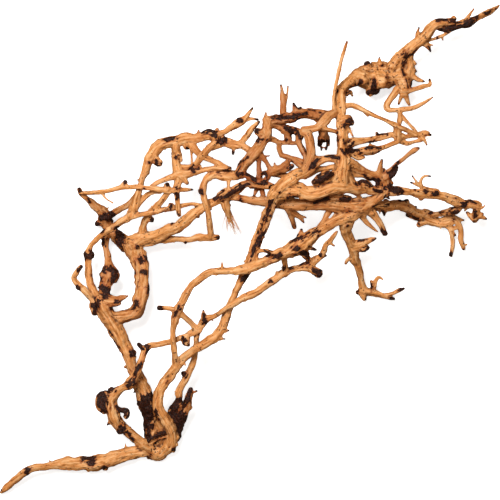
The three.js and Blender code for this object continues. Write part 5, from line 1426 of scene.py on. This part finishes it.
@dataclass(frozen=True)
class Fray:
    """Loose fibres that hang together where the wood has torn."""

    name: str
    root: tuple[float, float, float]
    tips: tuple[tuple[float, float, float], ...]
    count: int
    radius: float = 0.34
    spread: float = 1.5
    rings: int = 9
    sides: int = 5
    tip: float = 0.2
    lowest: float = 0.2

    def build(self, finish: bpy.types.Material) -> bpy.types.Object:
        """One thin tapered tube for each fibre.

        A fibre starts near the root and ends near one of the tips. Its middle line is
        root + (tip - root) t + bow sin(180 t), and its radius falls as 1 - 0.8 t.

        Args:
            finish: the material.

        Returns:
            The finished piece.
        """
        chance = np.random.default_rng(len(self.name) * 101 + self.count)
        root = SHEET.place(np.array([self.root]))[0]
        tips = SHEET.place(np.array(self.tips))
        start = root + chance.normal(0, 1.0, (self.count, 3)) * [1.3, 1.3, 0.8]
        way = tips[np.arange(self.count) % len(tips)] - root
        reach = chance.uniform(0.45, 1.05, (self.count, 1))
        end = start + way * reach + chance.normal(0, self.spread, (self.count, 3)) * [1, 1, 0.5]
        bow = chance.normal(0, 1.1, (self.count, 3)) * [1, 1, 0.6]
        t = np.linspace(0, 1, self.rings)
        lines = (start[:, None] + (end - start)[:, None] * t[None, :, None]
                 + bow[:, None] * np.sin(math.pi * t)[None, :, None])
        ways = unit((end - start))
        side = unit(np.cross(ways, [0.2, 0.3, 0.93]))
        other = np.cross(ways, side)
        thick = self.radius * chance.uniform(0.6, 1.25, (self.count, 1)) * (1 - 0.8 * t)
        angle = np.arange(self.sides) / self.sides * 2 * math.pi
        around = (side[:, None, None] * np.cos(angle)[None, None, :, None]
                  + other[:, None, None] * np.sin(angle)[None, None, :, None])
        rings = lines[:, :, None] + around * thick[:, :, None, None]
        tubes = rings.reshape(self.count, -1, 3)
        point = ways[:, None] * self.tip
        corners = np.concatenate([tubes, lines[:, :1] - point, lines[:, -1:] + point], axis=1)
        corners[..., 2] = np.maximum(corners[..., 2], self.lowest)
        each = corners.shape[1]
        quads, tris = (repeated(faces, self.count, each) for faces in tube_faces(self.rings, self.sides))
        mesh = mesh_of(self.name, corners.reshape(-1, 3) * MM, quads, tris)
        along = np.broadcast_to(t[None, :, None], (self.count, self.rings, self.sides)).reshape(self.count, -1)
        length = np.linalg.norm(end - start, axis=1)[:, None]
        grain = np.stack([np.full((self.count, each), 0.3) + np.arange(self.count)[:, None] * 7.0,
                          np.zeros((self.count, each)),
                          np.column_stack([along * length, 0 * length, length])], axis=-1)
        layer = mesh.attributes.new("grain", "FLOAT_VECTOR", "POINT")
        layer.data.foreach_set("vector", grain.astype(np.float32).ravel())
        mesh.polygons.foreach_set("use_smooth", np.ones(len(mesh.polygons), bool))
        mesh.materials.append(finish)
        piece = linked(self.name, mesh)
        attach(piece, "root")
        LOG.info("%s: %d fibres", self.name, self.count)
        return piece


FRAYS: tuple[Fray, ...] = (
    Fray("torn_strands", (228.5, 212, 45), (
        (244, 240, 33), (236, 236, 36), (229, 238, 37), (226, 239, 38), (233, 226, 40), (244, 240, 33), (230, 224, 41),
    ), 34, 0.42),
    Fray("trunk_splinters", (217, 336, 50), ((231, 333, 52), (227, 339, 50), (228, 329, 51)), 12),
    Fray("column_splinters", (348, 128, 66), ((355, 136, 66), (352, 137, 67)), 8),
    Fray("bundle_splinters", (419, 136, 45), ((431, 131, 45), (432, 136, 45), (428, 144, 45)), 14, 0.4),
    Fray("knee_splinters", (372, 207, 56), ((390, 203, 52), (391, 207, 48)), 8, 0.5),
    Fray("joint_strands", (330, 222, 60), ((352, 209, 62), (356, 212, 61), (350, 213, 62)), 12, 0.55, 0.9),
)


@dataclass(frozen=True)
class Colour:
    """A colour as it is seen on a screen, from 0 to 255."""

    red: float
    green: float
    blue: float

    def linear(self) -> tuple[float, float, float, float]:
        """The colour in linear light by the usual screen curve, with full cover."""
        shares = [c / 255.0 for c in (self.red, self.green, self.blue)]
        light = [s / 12.92 if s <= 0.04045 else ((s + 0.055) / 1.055) ** 2.4 for s in shares]
        return light[0], light[1], light[2], 1.0


@dataclass(frozen=True)
class BareWood:
    """Worn root wood: honey-coloured streaks along the grain, redder tones with painted shade on the sides and
    undersides, dirt and painted shade in hollows, and dark bark.
    """

    pale: Colour = Colour(236, 188, 134)
    honey: Colour = Colour(212, 142, 78)
    deep: Colour = Colour(168, 90, 36)
    # The red of the wood's own tone and stains, and of the painted shade on sides and undersides
    red: Colour = Colour(134, 58, 18)
    # The colour of dirt, cracks and pores, and of the painted shade in the hollows
    dirt_and_shade: Colour = Colour(58, 21, 7)
    bark_dark: Colour = Colour(18, 7, 5)
    bark_brown: Colour = Colour(88, 40, 20)
    grain_roughness: float = 0.62
    bark_roughness: float = 0.65

    def grain_group(self) -> Tree:
        """The grain: noise stretched along the limb, as a streak, a fine fibre, a crack mask and a height."""
        tree = bpy.data.node_groups.new("wood_grain", "ShaderNodeTree")
        for name in ("Streak", "Fibre", "Crack", "Height"):
            tree.interface.new_socket(name, in_out="OUTPUT", socket_type="NodeSocketFloat")
        out = tree.nodes.new("NodeGroupOutput")
        grain = self.attribute(tree, "grain", "Vector")
        made = {}
        for name, scale, detail in (
            ("Streak", (0.5, 0.5, 0.05), 4.0), ("Fibre", (2.2, 2.2, 0.2), 3.0), ("Crack", (0.8, 0.8, 0.07), 3.0),
        ):
            stretch = tree.nodes.new("ShaderNodeVectorMath")
            stretch.operation = "MULTIPLY"
            stretch.inputs[1].default_value = scale
            tree.links.new(grain, stretch.inputs[0])
            made[name] = self.noise(tree, stretch.outputs[0], 1.0, detail, self.grain_roughness)
        tree.links.new(made["Streak"], out.inputs["Streak"])
        tree.links.new(made["Fibre"], out.inputs["Fibre"])
        middle = self.maths(tree, "SUBTRACT", made["Crack"], 0.5)
        line = self.maths(tree, "ABSOLUTE", middle, 0.0)
        thin = self.ranged(tree, line, 0.018, 0.0, 1.0)
        often = self.ranged(tree, made["Streak"], 0.47, 0.34, 1.0)
        crack = self.maths(tree, "MULTIPLY", thin, often)
        tree.links.new(crack, out.inputs["Crack"])
        raised = self.maths(tree, "MULTIPLY", made["Fibre"], 0.6)
        raised = self.maths(tree, "ADD", raised, made["Streak"])
        raised = self.maths(tree, "SUBTRACT", raised, crack)
        tree.links.new(raised, out.inputs["Height"])
        return tree

    def bark_group(self) -> Tree:
        """The bark: its colour, its cover from the bark attribute, pores, and the height of its cracks."""
        tree = bpy.data.node_groups.new("old_bark", "ShaderNodeTree")
        tree.interface.new_socket("Colour", in_out="OUTPUT", socket_type="NodeSocketColor")
        for name in ("Cover", "Pores", "Height"):
            tree.interface.new_socket(name, in_out="OUTPUT", socket_type="NodeSocketFloat")
        out = tree.nodes.new("NodeGroupOutput")
        spot = tree.nodes.new("ShaderNodeTexCoord")
        noises = {}
        for name, scale, detail in (("crust", 700.0, 4.0), ("pores", 430.0, 1.0), ("drift", 60.0, 2.0)):
            noises[name] = self.noise(tree, spot.outputs["Object"], scale, detail, self.bark_roughness)
        colour = self.ramp(tree, noises["crust"], (0.42, self.bark_dark), (0.74, self.bark_brown))
        tree.links.new(colour, out.inputs["Colour"])
        tree.links.new(noises["crust"], out.inputs["Height"])
        edge = self.maths(tree, "MULTIPLY_ADD", noises["crust"], 0.7, -0.35)
        joined = self.maths(tree, "ADD", self.attribute(tree, "bark"), edge)
        cover = self.ranged(tree, joined, 0.42, 0.58, 1.0)
        tree.links.new(cover, out.inputs["Cover"])
        often = self.ranged(tree, noises["drift"], 0.42, 0.62, 0.13)
        pores = self.maths(tree, "ADD", noises["pores"], often)
        tree.links.new(self.ranged(tree, pores, 0.735, 0.775, 1.0), out.inputs["Pores"])
        return tree

    def material(self) -> bpy.types.Material:
        """The finished material."""
        made = bpy.data.materials.new("driftwood")
        made.use_nodes = True
        tree = made.node_tree
        nodes, links = tree.nodes, tree.links
        shader = nodes["Principled BSDF"]
        grain = nodes.new("ShaderNodeGroup")
        grain.node_tree = self.grain_group()
        bark = nodes.new("ShaderNodeGroup")
        bark.node_tree = self.bark_group()
        streak = grain.outputs["Streak"]
        colour = self.ramp(tree, streak, (0.24, self.deep), (0.47, self.honey), (0.70, self.pale))
        # Each layer: its mask, where the mask starts and is full, how much it covers, and its colour
        for source, low, high, strength, tint in (
            # The tone: the wood's redness, with painted shade on the sides and undersides
            (self.attribute(tree, "tone"), 0.0, 1.2, 0.85, self.red),
            (grain.outputs["Fibre"], 0.5, 0.72, 0.4, self.deep),
            # Dirt and painted shade in the creases
            (self.attribute(tree, "hollow_shade_and_dirt"), 0.15, 1.0, 0.85, self.dirt_and_shade),
            (self.attribute(tree, "stain"), 0.1, 1.0, 0.75, self.red),
            (grain.outputs["Crack"], 0.1, 0.9, 0.7, self.dirt_and_shade),
            (bark.outputs["Pores"], 0.0, 1.0, 0.9, self.dirt_and_shade),
        ):
            share = self.ranged(tree, source, low, high, strength)
            colour = self.mixed(made, colour, tint.linear(), share)
        covered = self.mixed(made, colour, bark.outputs["Colour"], bark.outputs["Cover"])
        links.new(covered, shader.inputs["Base Color"])
        links.new(self.ranged(tree, bark.outputs["Cover"], 0.0, 1.0, 0.36, 0.52), shader.inputs["Roughness"])
        shader.inputs["Specular IOR Level"].default_value = 0.22
        fine = self.bump(tree, grain.outputs["Height"], 0.75, 0.0006)
        cracks = self.maths(tree, "MULTIPLY", bark.outputs["Height"], bark.outputs["Cover"])
        links.new(self.bump(tree, cracks, 0.9, 0.0014, fine), shader.inputs["Normal"])
        return made

    @staticmethod
    def noise(tree: Tree, places: Socket, scale: float, detail: float,
              roughness: float) -> Socket:
        """Smooth noise from 0 to 1 at a socket of places."""
        node = tree.nodes.new("ShaderNodeTexNoise")
        for name, value in (("Scale", scale), ("Detail", detail), ("Roughness", roughness)):
            node.inputs[name].default_value = value
        tree.links.new(places, node.inputs["Vector"])
        return node.outputs["Fac"]

    @staticmethod
    def attribute(tree: Tree, name: str, output: str = "Fac") -> Socket:
        """What the mesh holds under a name at its corners."""
        node = tree.nodes.new("ShaderNodeAttribute")
        node.attribute_name = name
        return node.outputs[output]

    @staticmethod
    def ramp(tree: Tree, source: Socket,
             *stops: tuple[float, Colour]) -> Socket:
        """Colours that blend from stop to stop as a value grows. A stop is a value and its colour."""
        node = tree.nodes.new("ShaderNodeValToRGB")
        elements = node.color_ramp.elements
        for element, (place, colour) in zip((elements[0], elements[1]), (stops[0], stops[-1])):
            element.position, element.color = place, colour.linear()
        for place, colour in stops[1:-1]:
            elements.new(place).color = colour.linear()
        tree.links.new(source, node.inputs["Fac"])
        return node.outputs["Color"]

    @staticmethod
    def bump(tree: Tree, height: Socket, strength: float, distance: float,
             under: Socket | None = None) -> Socket:
        """Fine relief of a height, of so many metres at most, over the relief under it where there is one."""
        node = tree.nodes.new("ShaderNodeBump")
        node.inputs["Strength"].default_value = strength
        node.inputs["Distance"].default_value = distance
        tree.links.new(height, node.inputs["Height"])
        if under is not None:
            tree.links.new(under, node.inputs["Normal"])
        return node.outputs["Normal"]

    @staticmethod
    def maths(tree: Tree, operation: str, first: Socket,
              *others: Socket | float) -> Socket:
        """One step of arithmetic on a socket and sockets or plain numbers."""
        node = tree.nodes.new("ShaderNodeMath")
        node.operation = operation
        tree.links.new(first, node.inputs[0])
        for place, other in enumerate(others, 1):
            if isinstance(other, Socket):
                tree.links.new(other, node.inputs[place])
            else:
                node.inputs[place].default_value = other
        return node.outputs[0]

    @staticmethod
    def ranged(tree: Tree, source: Socket, low: float, high: float,
               top: float, bottom: float = 0.0) -> Socket:
        """A value carried evenly from low..high to bottom..top, and held at both ends."""
        node = tree.nodes.new("ShaderNodeMapRange")
        node.inputs["From Min"].default_value = low
        node.inputs["From Max"].default_value = high
        node.inputs["To Min"].default_value = bottom
        node.inputs["To Max"].default_value = top
        tree.links.new(source, node.inputs["Value"])
        return node.outputs["Result"]

    @staticmethod
    def mixed(made: bpy.types.Material, under: Socket, over: object,
              share: Socket) -> Socket:
        """One colour laid over another by a share: over is a socket or a plain colour."""
        mix = made.node_tree.nodes.new("ShaderNodeMix")
        mix.data_type = "RGBA"
        made.node_tree.links.new(share, mix.inputs[0])
        made.node_tree.links.new(under, mix.inputs[6])
        if isinstance(over, Socket):
            made.node_tree.links.new(over, mix.inputs[7])
        else:
            mix.inputs[7].default_value = over
        return mix.outputs[2]


@dataclass(frozen=True)
class Lamp:
    """A square soft light that faces the middle of the table: its place and side in metres, its power in watts."""

    name: str
    spot: tuple[float, float, float]
    side: float
    power: float

    def build(self) -> None:
        """Makes the light."""
        lamp = bpy.data.lights.new(self.name, "AREA")
        lamp.size = self.side
        lamp.energy = self.power
        made = bpy.data.objects.new(self.name, lamp)
        made.location = self.spot
        away = np.array(self.spot)
        lean = math.acos(away[2] / np.linalg.norm(away))
        made.rotation_euler = (lean, 0.0, math.atan2(away[1], away[0]) + math.pi / 2)
        bpy.context.scene.collection.objects.link(made)


@dataclass(frozen=True)
class Studio:
    """The pale table, the strong light from the far left, the weak one from the right, and the camera above."""

    floor_side: float = 6.0
    lens: float = 158.4
    sensor: float = 36.0
    key: Lamp = Lamp("key", (-0.58, 0.78, 1.92), 0.8, 55.0)
    fill: Lamp = Lamp("fill", (0.9, -0.4, 2.0), 1.4, 6.5)
    sky: tuple[float, ...] = (1.0, 0.84, 0.66, 1.0)
    sky_strength: float = 0.18
    table_glow: float = 0.72
    table_bounce: tuple[float, ...] = (0.2, 0.13, 0.07, 1.0)

    def build(self) -> None:
        """Makes the floor, the lights, the camera and the plain look."""
        half = self.floor_side / 2
        corners = np.array([[-half, -half, 0], [half, -half, 0], [half, half, 0], [-half, half, 0]], float)
        mesh = mesh_of("table", corners, np.array([[0, 1, 2, 3]]), np.empty((0, 3), int))
        table = linked("table", mesh)
        table.data.materials.append(self.floor_material())
        self.key.build()
        self.fill.build()
        world = bpy.data.worlds.new("studio")
        world.use_nodes = True
        sky = world.node_tree.nodes["Background"]
        sky.inputs["Color"].default_value = self.sky
        sky.inputs["Strength"].default_value = self.sky_strength
        bpy.context.scene.world = world
        lens = bpy.data.cameras.new("camera")
        lens.sensor_width = self.sensor
        lens.lens = self.lens
        lens.clip_start, lens.clip_end = 0.1, 20.0
        camera = bpy.data.objects.new("camera", lens)
        camera.location = (SHEET.shift[0] * MM, SHEET.shift[1] * MM, SHEET.eye_height * MM)
        bpy.context.scene.collection.objects.link(camera)
        bpy.context.scene.camera = camera
        bpy.context.scene.view_settings.view_transform = "Standard"

    def floor_material(self) -> bpy.types.Material:
        """A pale, faintly mottled table top.

        It glows, so shadows on it stay light, and it throws little light back up, so the wood's undersides
        stay dark.

        Returns:
            The finished material.
        """
        made = bpy.data.materials.new("pale_table")
        made.use_nodes = True
        nodes, links = made.node_tree.nodes, made.node_tree.links
        shader = nodes["Principled BSDF"]
        spot = nodes.new("ShaderNodeTexCoord")
        noise = nodes.new("ShaderNodeTexNoise")
        noise.inputs["Scale"].default_value = 3.0
        ramp = nodes.new("ShaderNodeValToRGB")
        for element, grey in zip(ramp.color_ramp.elements, (0.86, 0.9)):
            element.color = (grey, grey, grey, 1.0)
        links.new(spot.outputs["Object"], noise.inputs["Vector"])
        links.new(noise.outputs["Fac"], ramp.inputs["Fac"])
        links.new(ramp.outputs["Color"], shader.inputs["Base Color"])
        shader.inputs["Roughness"].default_value = 0.9
        shader.inputs["Specular IOR Level"].default_value = 0.1
        shader.inputs["Emission Color"].default_value = (1, 1, 1, 1)
        shader.inputs["Emission Strength"].default_value = self.table_glow
        dim = nodes.new("ShaderNodeBsdfDiffuse")
        dim.inputs["Color"].default_value = self.table_bounce
        seen = nodes.new("ShaderNodeLightPath")
        either = nodes.new("ShaderNodeMixShader")
        links.new(seen.outputs["Is Camera Ray"], either.inputs[0])
        links.new(dim.outputs[0], either.inputs[1])
        links.new(shader.outputs[0], either.inputs[2])
        links.new(either.outputs[0], nodes["Material Output"].inputs["Surface"])
        return made


def main() -> None:
    """Builds the branch and its studio."""
    logging.basicConfig(level=logging.INFO, format="%(name)s: %(message)s")
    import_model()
    Studio().build()
    finish = BareWood().material()
    Driftwood(voxel=0.72).build(finish)
    for fray in FRAYS:
        fray.build(finish)


if __name__ == "__main__":
    main()
